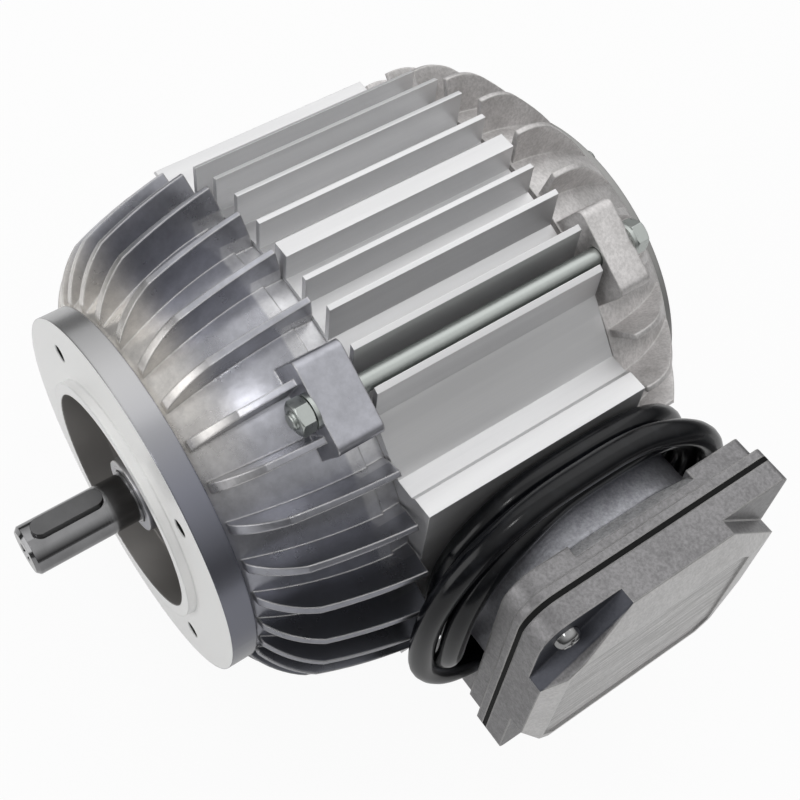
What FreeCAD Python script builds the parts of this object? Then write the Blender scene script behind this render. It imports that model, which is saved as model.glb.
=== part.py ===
import FreeCAD, Part
import math
import os
import re

import Sketcher

# Door motor with a spring-applied brake: finned housing between two cast shields, a mounting
# flange round the shaft and a terminal box on the side. The shaft lies along Y and points to -Y,
# the origin is the centre of the flange's mounting face, and +X points at the terminal box.

doc = FreeCAD.newDocument("door_motor_with_brake")
sheet = doc.addObject("Spreadsheet::Sheet", "dims")

# Driving dimensions in millimetres
SIZES = {
    # Running and seating gaps, and how far joined or cutting forms reach past each other
    "fit_gap": 0.02,
    "hole_gap": 0.2,
    "run_gap": 0.3,
    "overlap": 1.0,
    # Mounting flange and front recess
    "flange_radius": 52.5,
    "flange_rim": 7.3,
    "spigot_radius": 35.0,
    "spigot_height": 2.5,
    "recess_radius": 31.7,
    "recess_taper": 1.2,
    "recess_floor": 7.0,
    "nose_radius": 10.5,
    "nose_taper": 1.0,
    "nose_set": 0.5,
    "bolt_circle": 42.5,
    "bolt_hole": 2.5,
    "bolt_depth": 11.0,
    "front_wall": 13.0,
    # Shells of the two shields
    "shell_foot": 50.5,
    "shell_reach": 63.5,
    "shell_bulge": 86.0,
    "rear_shell_bulge": 45.0,
    "cavity_foot": 46.5,
    "cavity_bulge": 80.0,
    "register_depth": 4.5,
    "register_wall": 4.0,
    "collar_length": 5.5,
    "collar_step": 0.8,
    "joint_width": 1.6,
    "joint_depth": 3.0,
    # Radial fins of the two shields, thinner towards their tips
    "rib_base": 47.0,
    "rib_thickness": 3.2,
    "rib_tip": 1.5,
    "rib_reach": 73.4,
    "rib_end_gap": 2.0,
    "front_rib_foot": 53.0,
    "front_rib_rise": 1.0,
    "front_rib_knee": 66.0,
    "front_rib_knee_rise": 11.7,
    "front_rib_nose_arc": 29.0,
    "front_rib_back_arc": 133.0,
    "rear_rib_knee": 69.0,
    "rear_rib_knee_fall": 13.5,
    "rear_rib_foot": 51.5,
    "rear_rib_fall": 1.5,
    "rear_rib_nose_arc": 15.0,
    "rear_rib_back_arc": 90.0,
    # Housing
    "housing_start": 47.5,
    "housing_length": 68.0,
    "housing_bore": 58.0,
    "housing_skin": 64.0,
    "fin_reach": 75.0,
    "fin_flat": 72.4,
    "fin_pitch": 10.0,
    "fin_thickness": 1.5,
    "fin_middle": 5.0,
    "pad_face": 64.5,
    "pad_half": 41.0,
    "pad_root": 54.0,
    "pad_root_side": 40.0,
    "pad_bend": 39.8,
    "pad_bend_side": 52.0,
    "pad_step_side": 57.5,
    "pad_step": 1.2,
    # Tie rods
    "rod_circle": 71.5,
    "rod_radius": 2.5,
    "rod_spare": 1.0,
    "nut_flats": 8.0,
    "nut_height": 4.0,
    "washer_radius": 4.5,
    "washer_height": 1.0,
    "boss_width": 24.0,
    "boss_face": 75.0,
    "boss_root": 57.0,
    "boss_corner": 2.5,
    "front_boss_length": 12.5,
    "rear_boss_length": 9.3,
    # Shaft and key
    "shaft_radius": 7.0,
    "shaft_reach": 30.0,
    "shaft_chamfer": 1.0,
    "centre_hole": 2.1,
    "centre_sink": 0.6,
    "centre_depth": 12.0,
    "shaft_body": 9.5,
    "brake_seat": 6.5,
    "shaft_tail": 8.0,
    "key_width": 5.0,
    "key_height": 5.0,
    "key_length": 20.0,
    "key_set": 3.0,
    "key_seat": 3.0,
    # Ball bearings
    "bearing_bore": 7.5,
    "bearing_outer": 17.5,
    "bearing_width": 11.0,
    "bearing_wall": 5.0,
    "bearing_lip": 1.0,
    "front_bearing": 14.0,
    "rear_bearing_inset": 2.5,
    "ball_circle": 12.5,
    "ball_radius": 2.8,
    "race_radius": 3.1,
    "inner_ring": 10.3,
    "outer_ring": 14.7,
    "cage_wall": 0.6,
    "cage_width": 4.0,
    "wave_height": 2.0,
    "wave_width": 3.0,
    "circlip_thickness": 1.2,
    "circlip_rise": 2.0,
    # Stator and rotor
    "core_inset": 6.0,
    "core_bore": 33.0,
    "slot_start": 36.0,
    "slot_end": 48.0,
    "slot_width": 5.0,
    "turns_outer": 51.0,
    "turns_front": 15.0,
    "turns_rear": 8.5,
    "air_gap": 0.5,
    "cage_ring": 7.0,
    "cage_bore": 24.5,
    "cage_outer": 31.5,
    "bar_circle": 28.0,
    "bar_radius": 1.6,
    # Brake
    "brake_wall": 4.5,
    "chamber_radius": 44.0,
    "chamber_depth": 18.5,
    "rim_wall": 6.0,
    "brake_bore": 11.0,
    "disc_radius": 34.5,
    "disc_thickness": 2.4,
    "lining_bore": 22.0,
    "lining_thickness": 1.1,
    "disc_gap": 0.2,
    "armature_thickness": 3.5,
    "armature_bore": 16.0,
    "brake_gap": 0.4,
    "magnet_radius": 42.0,
    "magnet_bore": 13.0,
    "magnet_depth": 12.5,
    "coil_start": 19.0,
    "coil_end": 31.0,
    "coil_depth": 8.5,
    "sleeve_circle": 38.5,
    "sleeve_radius": 3.0,
    "brake_screw": 2.0,
    "brake_screw_head": 3.4,
    "brake_screw_sink": 4.0,
    "spring_radius": 1.9,
    "spring_wire": 0.6,
    "spring_pocket": 7.0,
    "hub_flats": 20.0,
    "hub_length": 8.0,
    # Rear cover
    "cover_rim": 49.6,
    "cover_sheet": 2.0,
    "cover_dome": 46.0,
    "cover_rise": 3.5,
    "cover_bevel": 2.5,
    "cover_screw_circle": 46.8,
    "cover_screw": 1.5,
    "cover_screw_head": 2.6,
    "cover_screw_rise": 1.4,
    "cover_screw_depth": 7.0,
    # Terminal box
    "box_front": 52.5,
    "box_length": 78.5,
    "box_half": 37.5,
    "box_corner": 9.0,
    "box_edge": 2.5,
    "box_wall": 3.0,
    "box_foot_along": 20.0,
    "box_foot_across": 15.0,
    "box_bar": 8.0,
    "base_gasket": 1.0,
    "neck_front": 57.5,
    "neck_length": 64.0,
    "neck_half": 32.5,
    "neck_corner": 24.0,
    "neck_height": 21.0,
    "flare_height": 3.5,
    "tray_height": 2.5,
    "tray_inset": 1.6,
    "lip_height": 2.5,
    "floor_height": 3.5,
    "lid_gasket": 1.4,
    "lid_rim": 6.3,
    "lid_wall": 4.3,
    "lid_crown": 2.8,
    "lid_pocket": 23.0,
    "crown_side": 13.0,
    "crown_front": 5.0,
    "crown_rear": 12.0,
    "crown_corner": 4.0,
    "crown_border": 1.2,
    "crown_recess": 0.6,
    "lid_skin": 3.0,
    "lid_screw_inset": 7.8,
    "lid_screw": 2.0,
    "lid_screw_head": 3.6,
    "lid_screw_rise": 2.6,
    "lid_screw_depth": 7.0,
    "screw_pillar": 4.5,
    "wire_hole": 9.0,
    "wire_hole_along": 80.0,
    "box_screw_along": 21.0,
    "box_screw_across": 19.0,
    "box_screw": 2.0,
    "box_screw_head": 3.8,
    "box_screw_rise": 2.8,
    "box_screw_depth": 7.0,
    "board_length": 29.0,
    "board_width": 24.0,
    "board_height": 7.0,
    "board_skin": 1.0,
    "board_along": 104.0,
    "stud_radius": 2.0,
    "stud_rise": 9.0,
    "stud_pitch": 10.0,
    "stud_row": 12.0,
    "stud_nut_flats": 7.0,
    "stud_nut_height": 3.2,
    "rectifier_length": 8.0,
    "rectifier_width": 28.0,
    "rectifier_height": 13.0,
    "rectifier_along": 66.0,
    "earth_along": 88.0,
    "earth_across": 21.0,
    "earth_rise": 3.0,
    # Cable and its gland
    "cable_radius": 3.5,
    "cable_pitch": 7.0,
    "coil_centre": 91.0,
    "coil_half_along": 39.0,
    "coil_half_up": 37.5,
    "coil_corner": 30.0,
    "coil_third_low": 8.0,
    "gland_along": 64.0,
    "gland_block": 16.0,
    "gland_drop": 53.0,
    "gland_block_half": 7.5,
    "gland_web": 81.5,
    "gland_thread": 5.5,
    "gland_flats": 18.0,
    "gland_hex": 5.0,
    "gland_nut_flats": 16.0,
    "gland_nut": 5.0,
    "core_radius": 0.9,
    "core_bare": 14.0,
    "core_spread": 1.1,
}
for row, (alias, number) in enumerate(SIZES.items(), start=1):
    sheet.set("A%d" % row, alias)
    sheet.set("B%d" % row, str(number))
    sheet.setAlias("B%d" % row, alias)
doc.recompute()

# Counts, directions and shares
SHIELD_RIBS = 30
ROD_ANGLES = (60, 180, 300)
LEAD_ANGLES = (0, 30, 60)
BEND_SHARE = 0.45
FLANGE_ANGLES = (45, 135, 225, 315)
THIRDS = (90, 210, 330)
SPRING_ANGLES = (30, 150, 270)
BEARING_BALLS = 8
STATOR_SLOTS = 24
CAGE_BARS = 12
FIN_STEPS = range(-4, 5)
TURN_TO = {
    "x": FreeCAD.Rotation(FreeCAD.Vector(0, 1, 0), 90),
    "y": FreeCAD.Rotation(FreeCAD.Vector(1, 0, 0), -90),
    "z": FreeCAD.Rotation(),
}

# Places worked out from the driving dimensions
HOUSING_END = "(housing_start + housing_length)"
FRONT_RIB_END = "(housing_start - rib_end_gap)"
REAR_RIB_START = f"({HOUSING_END} + rib_end_gap)"
CORE_START = "(housing_start + core_inset)"
CORE_LENGTH = "(housing_length - 2 * core_inset)"
CORE_END = f"({CORE_START} + {CORE_LENGTH})"
REAR_BEARING = f"({HOUSING_END} - rear_bearing_inset)"
REAR_BEARING_END = f"({REAR_BEARING} + bearing_width)"
FRICTION_FACE = f"({REAR_BEARING_END} + brake_wall)"
SHIELD_END = f"({FRICTION_FACE} + chamber_depth)"
DISC_START = f"({FRICTION_FACE} + disc_gap + lining_thickness)"
DISC_END = f"({DISC_START} + disc_thickness)"
ARMATURE_START = f"({DISC_END} + lining_thickness + disc_gap)"
MAGNET_START = f"({ARMATURE_START} + armature_thickness + brake_gap)"
MAGNET_END = f"({MAGNET_START} + magnet_depth)"
SHAFT_END = f"({MAGNET_START} + shaft_tail)"
FRONT_BOSS_START = f"({FRONT_RIB_END} - front_boss_length)"
REAR_BOSS_END = f"({REAR_RIB_START} + rear_boss_length)"
NECK_START = "(pad_face + base_gasket)"
NECK_END = f"({NECK_START} + neck_height)"
TRAY_START = f"({NECK_END} + flare_height)"
LIP_START = f"({TRAY_START} + tray_height)"
LIP_END = f"({LIP_START} + lip_height)"
LID_START = f"({LIP_END} + lid_gasket)"
LID_STEP = f"({LID_START} + lid_rim)"
LID_EDGE = f"({LID_STEP} + lid_wall)"
LID_FACE = f"({LID_EDGE} + lid_crown)"
BOX_REAR = "(box_front + box_length)"
NECK_REAR = "(neck_front + neck_length)"
NECK_MIDDLE = "(neck_front + neck_length / 2)"
BOX_FLOOR = f"({NECK_START} + floor_height)"
COIL_START = NECK_START
COIL_SECOND_END = f"({COIL_START} + cable_pitch + 2 * cable_radius)"
COIL_THIRD = f"({COIL_START} + 2 * cable_pitch + cable_radius)"
COIL_END = f"({COIL_THIRD} + cable_radius)"
GLAND_FACE = "(gland_along + gland_block)"
GLAND_NUT_FACE = f"({GLAND_FACE} + gland_hex)"
LEAD_START = f"({GLAND_NUT_FACE} + gland_nut)"
CORES_START = "(coil_centre - 2 * cable_radius)"


def formula(text):
    """Point each size that the text names at its cell on the sheet."""
    return re.sub(r"\b[a-z]\w*\b(?!\()", lambda found: "dims." + found.group(), text)


def size(text):
    """The number that a formula comes to."""
    return float(sheet.evalExpression(formula(text)))


def bind(thing, places):
    """Tie properties to formulas on the sheet."""
    for place, text in places.items():
        thing.setExpression(place, formula(text))
    return thing


def around(radius, angle):
    """X and Z of a point on a circle about the shaft."""
    return f"{radius} * cos({angle})", f"{radius} * sin({angle})"


def solid(kind, places, x="0", y="0", z="0"):
    """A primitive with its sizes and its corner or centre tied to the sheet."""
    thing = doc.addObject("Part::" + kind, kind.lower())
    bind(thing, places)
    return bind(thing, {"Placement.Base.x": x, "Placement.Base.y": y, "Placement.Base.z": z})


def cylinder(axis, radius, length, x="0", y="0", z="0"):
    """A cylinder that starts at a point and runs along one axis."""
    thing = solid("Cylinder", {"Radius": radius, "Height": length}, x, y, z)
    thing.Placement.Rotation = TURN_TO[axis]
    return thing


def prism(axis, flats, length, x="0", y="0", z="0", sides=6):
    """A regular bar of a width across flats, such as a hexagon."""
    corner = f"({flats}) / 2 / cos({180 / sides})"
    thing = solid("Prism", {"Circumradius": corner, "Height": length}, x, y, z)
    thing.Polygon = sides
    thing.Placement.Rotation = TURN_TO[axis]
    return thing


def block(x, y, z, length, width, height):
    """A box from its lowest corner."""
    return solid("Box", {"Length": length, "Width": width, "Height": height}, x, y, z)


def cut(base, *tools):
    """One solid less others."""
    thing = doc.addObject("Part::Cut", "cut")
    thing.Base = base
    thing.Tool = tools[0] if len(tools) == 1 else fuse(*tools)
    return thing


def fuse(*pieces):
    """Several solids joined in one."""
    thing = doc.addObject("Part::MultiFuse", "joined")
    thing.Shapes = list(pieces)
    thing.Refine = True
    return thing


def common(*pieces):
    """What several solids share."""
    thing = doc.addObject("Part::MultiCommon", "shared")
    thing.Shapes = list(pieces)
    return thing


def group(*pieces):
    """Like pieces that stay separate solids."""
    thing = doc.addObject("Part::Compound", "set")
    thing.Links = list(pieces)
    return thing


def ring(outer, inner, start, length):
    """A flat-ended ring about the shaft."""
    hole = cylinder("y", inner, f"{length} + 2 * overlap", y=f"{start} - overlap")
    return cut(cylinder("y", outer, length, y=start), hole)


def arc_between(start, end, radius, side):
    """An arc from start to end that bends to the left or to the right."""
    chord = end - start
    rise = math.sqrt(radius ** 2 - chord.Length ** 2 / 4)
    left = FreeCAD.Vector(-chord.y, chord.x) / chord.Length
    centre = (start + end) / 2 + left * (rise if side == "left" else -rise)
    from_angle = math.atan2(start.y - centre.y, start.x - centre.x)
    to_angle = math.atan2(end.y - centre.y, end.x - centre.x)
    if side == "right":
        from_angle, to_angle = to_angle, from_angle
    circle = Part.Circle(centre, FreeCAD.Vector(0, 0, 1), radius)
    return Part.ArcOfCircle(circle, from_angle, to_angle)


def hold(drawing, kind, side, point, text):
    """Hold a corner's distance from the sketch's origin at a formula."""
    number = drawing.addConstraint(Sketcher.Constraint(kind, -1, 1, side, point, size(text)))
    drawing.setExpression("Constraints[%d]" % number, formula(text))


def trace(drawing, points):
    """Draw a closed outline. Each corner is (across, up), reached by a straight side, or
    (across, up, radius, "left" or "right"), reached by an arc that bends that way."""
    corners = [FreeCAD.Vector(size(point[0]), size(point[1])) for point in points]
    sides = []
    for index, point in enumerate(points):
        start, end = corners[index - 1], corners[index]
        if len(point) == 2:
            number = drawing.addGeometry(Part.LineSegment(start, end))
            sides.append((number, 1, 2))
        else:
            number = drawing.addGeometry(arc_between(start, end, size(point[2]), point[3]))
            sides.append((number, 1, 2) if point[3] == "left" else (number, 2, 1))
    for index, point in enumerate(points):
        number, begins, ends = sides[index]
        following = sides[(index + 1) % len(sides)]
        drawing.addConstraint(
            Sketcher.Constraint("Coincident", number, ends, following[0], following[1]))
        hold(drawing, "DistanceX", number, ends, point[0])
        hold(drawing, "DistanceY", number, ends, point[1])
        if len(point) == 4:
            radius = drawing.addConstraint(
                Sketcher.Constraint("Radius", number, size(point[2])))
            drawing.setExpression("Constraints[%d]" % radius, formula(point[2]))


def sketch(body, plane, offset, outlines):
    """A sketch of closed outlines on a plane of the body, moved along that plane's normal."""
    drawing = body.newObject("Sketcher::SketchObject", "outline")
    base = [item for item in body.Origin.OriginFeatures if item.Role == plane]
    drawing.AttachmentSupport = (base[0], [""])
    drawing.MapMode = "FlatFace"
    bind(drawing, {"AttachmentOffset.Base.z": offset})
    for points in outlines:
        trace(drawing, points)
    return drawing


def new_body():
    """An empty body."""
    return doc.addObject("PartDesign::Body", "body")


def turn(points):
    """A body turned about the shaft from an outline of (radius, distance along the shaft)."""
    body = new_body()
    whole_turn(body, "PartDesign::Revolution", points)
    return body


def whole_turn(body, kind, points):
    """A feature that carries an outline once round the shaft."""
    feature = body.newObject(kind, "turned")
    feature.Profile = sketch(body, "XY_Plane", "0", [points])
    feature.ReferenceAxis = (feature.Profile[0], ["V_Axis"])
    feature.Angle = 360
    body.Tip = feature


def turn_away(body, points):
    """Turn a ring-shaped room out of a body, from an outline like that of turn."""
    whole_turn(body, "PartDesign::Groove", points)


def pad_along_y(body, start, length, *outlines):
    """Outlines of (X, Z) carried along the shaft."""
    feature = body.newObject("PartDesign::Pad", "pad")
    feature.Profile = sketch(body, "XZ_Plane", f"-({start})", outlines)
    feature.Reversed = True
    bind(feature, {"Length": length})
    body.Tip = feature
    return feature


def pad_along_x(body, start, length, *outlines):
    """Outlines of (Y, Z) carried outwards from the housing's side."""
    feature = body.newObject("PartDesign::Pad", "pad")
    feature.Profile = sketch(body, "YZ_Plane", start, outlines)
    bind(feature, {"Length": length})
    body.Tip = feature
    return feature


def loft_along_x(body, start, first, end, last):
    """A form that changes from one outline of (Y, Z) to another."""
    feature = body.newObject("PartDesign::AdditiveLoft", "loft")
    feature.Profile = sketch(body, "YZ_Plane", start, [first])
    feature.Sections = [sketch(body, "YZ_Plane", end, [last])]
    feature.Ruled = True
    body.Tip = feature
    return feature


def cornered(low, high, half, corner):
    """A rectangle in (Y, Z) with its corners cut at 45 degrees."""
    return [
        (f"{low} + {corner}", f"-({half})"),
        (f"{high} - {corner}", f"-({half})"),
        (high, f"-({half}) + {corner}"),
        (high, f"{half} - {corner}"),
        (f"{high} - {corner}", half),
        (f"{low} + {corner}", half),
        (low, f"{half} - {corner}"),
        (low, f"-({half}) + {corner}"),
    ]


def rounded(low, high, half, radius, other):
    """A rectangle with round corners. The first radius is that of the low corner across and up
    and the one opposite to it, and the other radius is that of the two corners between."""
    return [
        (f"{low} + {radius}", f"-({half})", radius, "left"),
        (f"{high} - {other}", f"-({half})"),
        (high, f"-({half}) + {other}", other, "left"),
        (high, f"{half} - {radius}"),
        (f"{high} - {radius}", half, radius, "left"),
        (f"{low} + {other}", half),
        (low, f"{half} - {other}", other, "left"),
        (low, f"-({half}) + {radius}"),
    ]


def ribbed(body, start, end):
    """Radial ribs on a turned body, the first one upright, with drafted sides. They are left
    higher than they end up, for the turning that gives them their curved backs."""
    rib = body.newObject("PartDesign::Pad", "rib")
    rib.Profile = sketch(body, "XY_Plane", "rib_base", [[
        ("-rib_thickness / 2", start),
        ("rib_thickness / 2", start),
        ("rib_thickness / 2", end),
        ("-rib_thickness / 2", end),
    ]])
    height = "(rib_reach + overlap - rib_base)"
    bind(rib, {"Length": height, "TaperAngle": f"-atan((rib_thickness - rib_tip) / 2 / {height})"})
    doc.recompute()
    pattern = body.newObject("PartDesign::PolarPattern", "ribs")
    pattern.Originals = [rib]
    axis = [item for item in body.Origin.OriginFeatures if item.Role == "Y_Axis"]
    pattern.Axis = (axis[0], [""])
    pattern.Angle = 360
    pattern.Occurrences = SHIELD_RIBS
    body.Tip = pattern


def rod_boss(angle, start, length):
    """A block on a shield that a tie rod passes through, square to its radius."""
    body = new_body()
    pad_along_y(body, start, length, rounded(
        "boss_root", "boss_face", "(boss_width / 2)", "boss_corner", "boss_corner"))
    body.Placement.Rotation = FreeCAD.Rotation(FreeCAD.Vector(0, 1, 0), -angle)
    return body


def rod_holes(start, length):
    """Holes for the tie rods."""
    holes = []
    for angle in ROD_ANGLES:
        x, z = around("rod_circle", angle)
        holes.append(cylinder("y", "rod_radius + hole_gap", length, x, start, z))
    return holes


def drive_end_shield():
    """Front shield: flange with spigot and recess, bearing seat, shell, ribs and rod bosses."""
    seat_floor = "front_bearing - wave_height"
    seat_end = "front_bearing + bearing_width + bearing_lip"
    boss_outer = "bearing_outer + bearing_wall"
    register_end = "housing_start + register_depth"
    register = "housing_bore - fit_gap"
    collar = "shell_reach - collar_step"
    collar_start = "housing_start - collar_length"
    body = turn([
        ("bearing_bore + run_gap", "nose_set"),
        ("nose_radius", "nose_set"),
        ("nose_radius + nose_taper", "recess_floor"),
        ("recess_radius - recess_taper", "recess_floor"),
        ("recess_radius", "-spigot_height"),
        ("spigot_radius", "-spigot_height"),
        ("spigot_radius", "0"),
        ("flange_radius", "0"),
        ("flange_radius", "flange_rim"),
        ("shell_foot", "flange_rim"),
        ("shell_reach", collar_start, "shell_bulge", "left"),
        (collar, collar_start),
        (collar, "housing_start"),
        (register, "housing_start"),
        (register, register_end),
        ("bearing_bore + run_gap", register_end),
    ])
    rib_start = "flange_rim + front_rib_rise"
    ribbed(body, rib_start, "housing_start")
    turn_away(body, [
        ("front_rib_foot", rib_start),
        ("front_rib_knee", "flange_rim + front_rib_knee_rise", "front_rib_nose_arc", "left"),
        ("rib_reach", FRONT_RIB_END, "front_rib_back_arc", "left"),
        (collar, "housing_start"),
        ("rib_reach + 2 * overlap", "housing_start"),
        ("rib_reach + 2 * overlap", rib_start),
    ])
    turn_away(body, [
        ("bearing_bore", seat_floor),
        ("bearing_outer + fit_gap", seat_floor),
        ("bearing_outer + fit_gap", seat_end),
        (boss_outer, seat_end),
        (boss_outer, "front_wall"),
        ("cavity_foot", "front_wall"),
        (f"{register} - register_wall", "housing_start", "cavity_bulge", "left"),
        (f"{register} - register_wall", f"{register_end} + overlap"),
        ("bearing_bore", f"{register_end} + overlap"),
    ])
    bosses = [rod_boss(angle, FRONT_BOSS_START, "front_boss_length") for angle in ROD_ANGLES]
    holes = rod_holes(f"{FRONT_BOSS_START} - overlap", "front_boss_length + 2 * overlap")
    for angle in FLANGE_ANGLES:
        x, z = around("bolt_circle", angle)
        holes.append(cylinder("y", "bolt_hole", "bolt_depth", x, "0", z))
    return cut(fuse(body, *bosses), *holes)


def brake_end_shield():
    """Rear shield: bearing seat, brake chamber, shell, ribs and rod bosses."""
    boss_outer = "bearing_outer + bearing_wall"
    register = "housing_bore - fit_gap"
    register_start = f"{HOUSING_END} - register_depth"
    joint = "shell_reach - joint_depth"
    joint_end = f"{HOUSING_END} + joint_width"
    body = turn([
        ("brake_bore", FRICTION_FACE),
        ("brake_bore", register_start),
        (register, register_start),
        (register, HOUSING_END),
        (joint, HOUSING_END),
        (joint, joint_end),
        ("shell_reach", joint_end),
        ("shell_reach", REAR_RIB_START),
        ("chamber_radius + rim_wall", SHIELD_END, "rear_shell_bulge", "left"),
        ("chamber_radius", SHIELD_END),
        ("chamber_radius", FRICTION_FACE),
    ])
    rib_end = f"{SHIELD_END} - rear_rib_fall"
    ribbed(body, REAR_RIB_START, rib_end)
    turn_away(body, [
        ("rib_reach", REAR_RIB_START),
        ("rear_rib_knee", f"{REAR_RIB_START} + rear_rib_knee_fall", "rear_rib_nose_arc", "left"),
        ("rear_rib_foot", rib_end, "rear_rib_back_arc", "left"),
        ("rib_reach + 2 * overlap", rib_end),
        ("rib_reach + 2 * overlap", REAR_RIB_START),
    ])
    turn_away(body, [
        ("bearing_bore", REAR_BEARING_END),
        ("bearing_bore", f"{register_start} - overlap"),
        (f"{register} - register_wall", f"{register_start} - overlap"),
        (f"{register} - register_wall", REAR_RIB_START),
        ("cavity_foot", REAR_BEARING_END),
        (boss_outer, REAR_BEARING_END),
        (boss_outer, f"{REAR_BEARING} - bearing_lip"),
        ("bearing_outer + fit_gap", f"{REAR_BEARING} - bearing_lip"),
        ("bearing_outer + fit_gap", REAR_BEARING_END),
    ])
    bosses = [rod_boss(angle, REAR_RIB_START, "rear_boss_length") for angle in ROD_ANGLES]
    holes = rod_holes(f"{REAR_RIB_START} - overlap", "rear_boss_length + 2 * overlap")
    for angle in THIRDS:
        x, z = around("sleeve_circle", angle)
        holes.append(cylinder("y", "brake_screw + fit_gap", "brake_wall", x, REAR_BEARING_END, z))
        x, z = around("cover_screw_circle", angle)
        start = f"{SHIELD_END} - cover_screw_depth"
        holes.append(cylinder("y", "cover_screw + fit_gap", "cover_screw_depth", x, start, z))
    beside_box = block("pad_face", f"{HOUSING_END} - overlap", "-fin_reach", "fin_reach",
                       "chamber_depth + fin_reach", "2 * fin_reach")
    return cut(fuse(body, *bosses), beside_box, *holes)


def stator_housing():
    """Extruded housing: upright fins above and below, a flat pad for the terminal box, and level
    fins on the far side, where a tie rod takes the middle one's place."""
    fins = []
    for step in FIN_STEPS:
        wide = "fin_thickness" if step else "fin_middle"
        place = f"{step} * fin_pitch - {wide} / 2"
        fins.append(block(place, "housing_start", "-fin_flat", wide, "housing_length",
                          "2 * fin_flat"))
        if step:
            fins.append(block("-fin_flat", "housing_start", place, "fin_flat", "housing_length",
                              wide))
    reach = cylinder("y", "fin_reach", "housing_length", y="housing_start")
    skin = cylinder("y", "housing_skin", "housing_length", y="housing_start")
    pad = new_body()
    pad_along_y(pad, "housing_start", "housing_length", [
        ("pad_root_side", "-pad_root"),
        ("pad_bend_side", "-pad_bend"),
        ("pad_step_side", "-pad_bend"),
        ("pad_step_side + pad_step", "-pad_half"),
        ("pad_face", "-pad_half"),
        ("pad_face", "pad_half"),
        ("pad_step_side + pad_step", "pad_half"),
        ("pad_step_side", "pad_bend"),
        ("pad_bend_side", "pad_bend"),
        ("pad_root_side", "pad_root"),
    ])
    bore = cylinder("y", "housing_bore", "housing_length + 2 * overlap",
                    y="housing_start - overlap")
    wires = cylinder("x", "wire_hole", "pad_face", "overlap", "wire_hole_along", "0")
    holes = [cylinder("x", "box_screw + fit_gap", "box_screw_depth + overlap",
                      "pad_face - box_screw_depth", along, across)
             for along, across in box_screw_places()]
    return cut(fuse(skin, common(fuse(*fins), reach), pad), bore, wires, *holes)


def tie_rods():
    """Tie rods that clamp the shields on the housing."""
    start = f"{FRONT_BOSS_START} - washer_height - nut_height - rod_spare"
    end = f"{REAR_BOSS_END} + washer_height + nut_height + rod_spare"
    rods = []
    for angle in ROD_ANGLES:
        x, z = around("rod_circle", angle)
        rods.append(cylinder("y", "rod_radius", f"{end} - ({start})", x, start, z))
    return group(*rods)


def on_rods(make, front, rear):
    """A piece at both ends of each tie rod, on the bosses."""
    pieces = []
    for angle in ROD_ANGLES:
        x, z = around("rod_circle", angle)
        for start in (front, rear):
            hole = cylinder("y", "rod_radius + fit_gap", "nut_height + 2 * overlap",
                            x, f"{start} - overlap", z)
            pieces.append(cut(make(x, start, z), hole))
    return group(*pieces)


def tie_rod_washers():
    """Plain washers under the tie-rod nuts."""
    return on_rods(lambda x, y, z: cylinder("y", "washer_radius", "washer_height", x, y, z),
                   f"{FRONT_BOSS_START} - washer_height", REAR_BOSS_END)


def tie_rod_nuts():
    """Hexagon nuts on both ends of the tie rods."""
    return on_rods(lambda x, y, z: prism("y", "nut_flats", "nut_height", x, y, z),
                   f"{FRONT_BOSS_START} - washer_height - nut_height",
                   f"{REAR_BOSS_END} + washer_height")


def stator_core():
    """Core of the stator with closed slots for its winding."""
    slots = slot_bars("slot_width", "slot_start", "slot_end", CORE_START, CORE_LENGTH)
    return cut(ring("housing_bore - fit_gap", "core_bore", CORE_START, CORE_LENGTH), *slots)


def slot_bars(wide, inner, outer, start, length):
    """Radial bars spaced evenly round the shaft."""
    bars = []
    for slot in range(STATOR_SLOTS):
        angle = 360 / STATOR_SLOTS * slot
        x = f"({inner}) * cos({angle}) + ({wide}) / 2 * sin({angle})"
        z = f"({inner}) * sin({angle}) - ({wide}) / 2 * cos({angle})"
        bar = block(x, start, z, f"({outer}) - ({inner})", length, wide)
        bar.Placement.Rotation = FreeCAD.Rotation(FreeCAD.Vector(0, 1, 0), -angle)
        bars.append(bar)
    return bars


def stator_winding():
    """Winding: coil sides in the slots, joined by the end turns at both ends."""
    bars = slot_bars("slot_width - 2 * hole_gap", "slot_start + hole_gap", "slot_end - hole_gap",
                     f"{CORE_START} - overlap", f"{CORE_LENGTH} + 2 * overlap")
    front = ring("turns_outer", "slot_start + hole_gap",
                 f"{CORE_START} - turns_front", "turns_front - hole_gap")
    rear = ring("turns_outer", "slot_start + hole_gap",
                f"{CORE_END} + hole_gap", "turns_rear - hole_gap")
    return fuse(front, rear, *bars)


def rotor_shaft():
    """Stepped shaft with a keyway and a tapped centre hole at its drive end."""
    journal = "bearing_bore"
    front_end = "front_bearing + bearing_width"
    body = turn([
        ("0", "-shaft_reach + centre_depth"),
        ("centre_hole", "-shaft_reach + centre_depth"),
        ("centre_hole", "-shaft_reach + centre_sink"),
        ("centre_hole + centre_sink", "-shaft_reach"),
        ("shaft_radius - shaft_chamfer", "-shaft_reach"),
        ("shaft_radius", "-shaft_reach + shaft_chamfer"),
        ("shaft_radius", "0"),
        (journal, "0"),
        (journal, front_end),
        ("shaft_body", front_end),
        ("shaft_body", REAR_BEARING),
        (journal, REAR_BEARING),
        (journal, f"{REAR_BEARING_END} + circlip_thickness"),
        ("brake_seat", f"{REAR_BEARING_END} + circlip_thickness"),
        ("brake_seat", SHAFT_END),
        ("0", SHAFT_END),
    ])
    return cut(body, key_form("key_width", "key_length", "key_height"))


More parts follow.
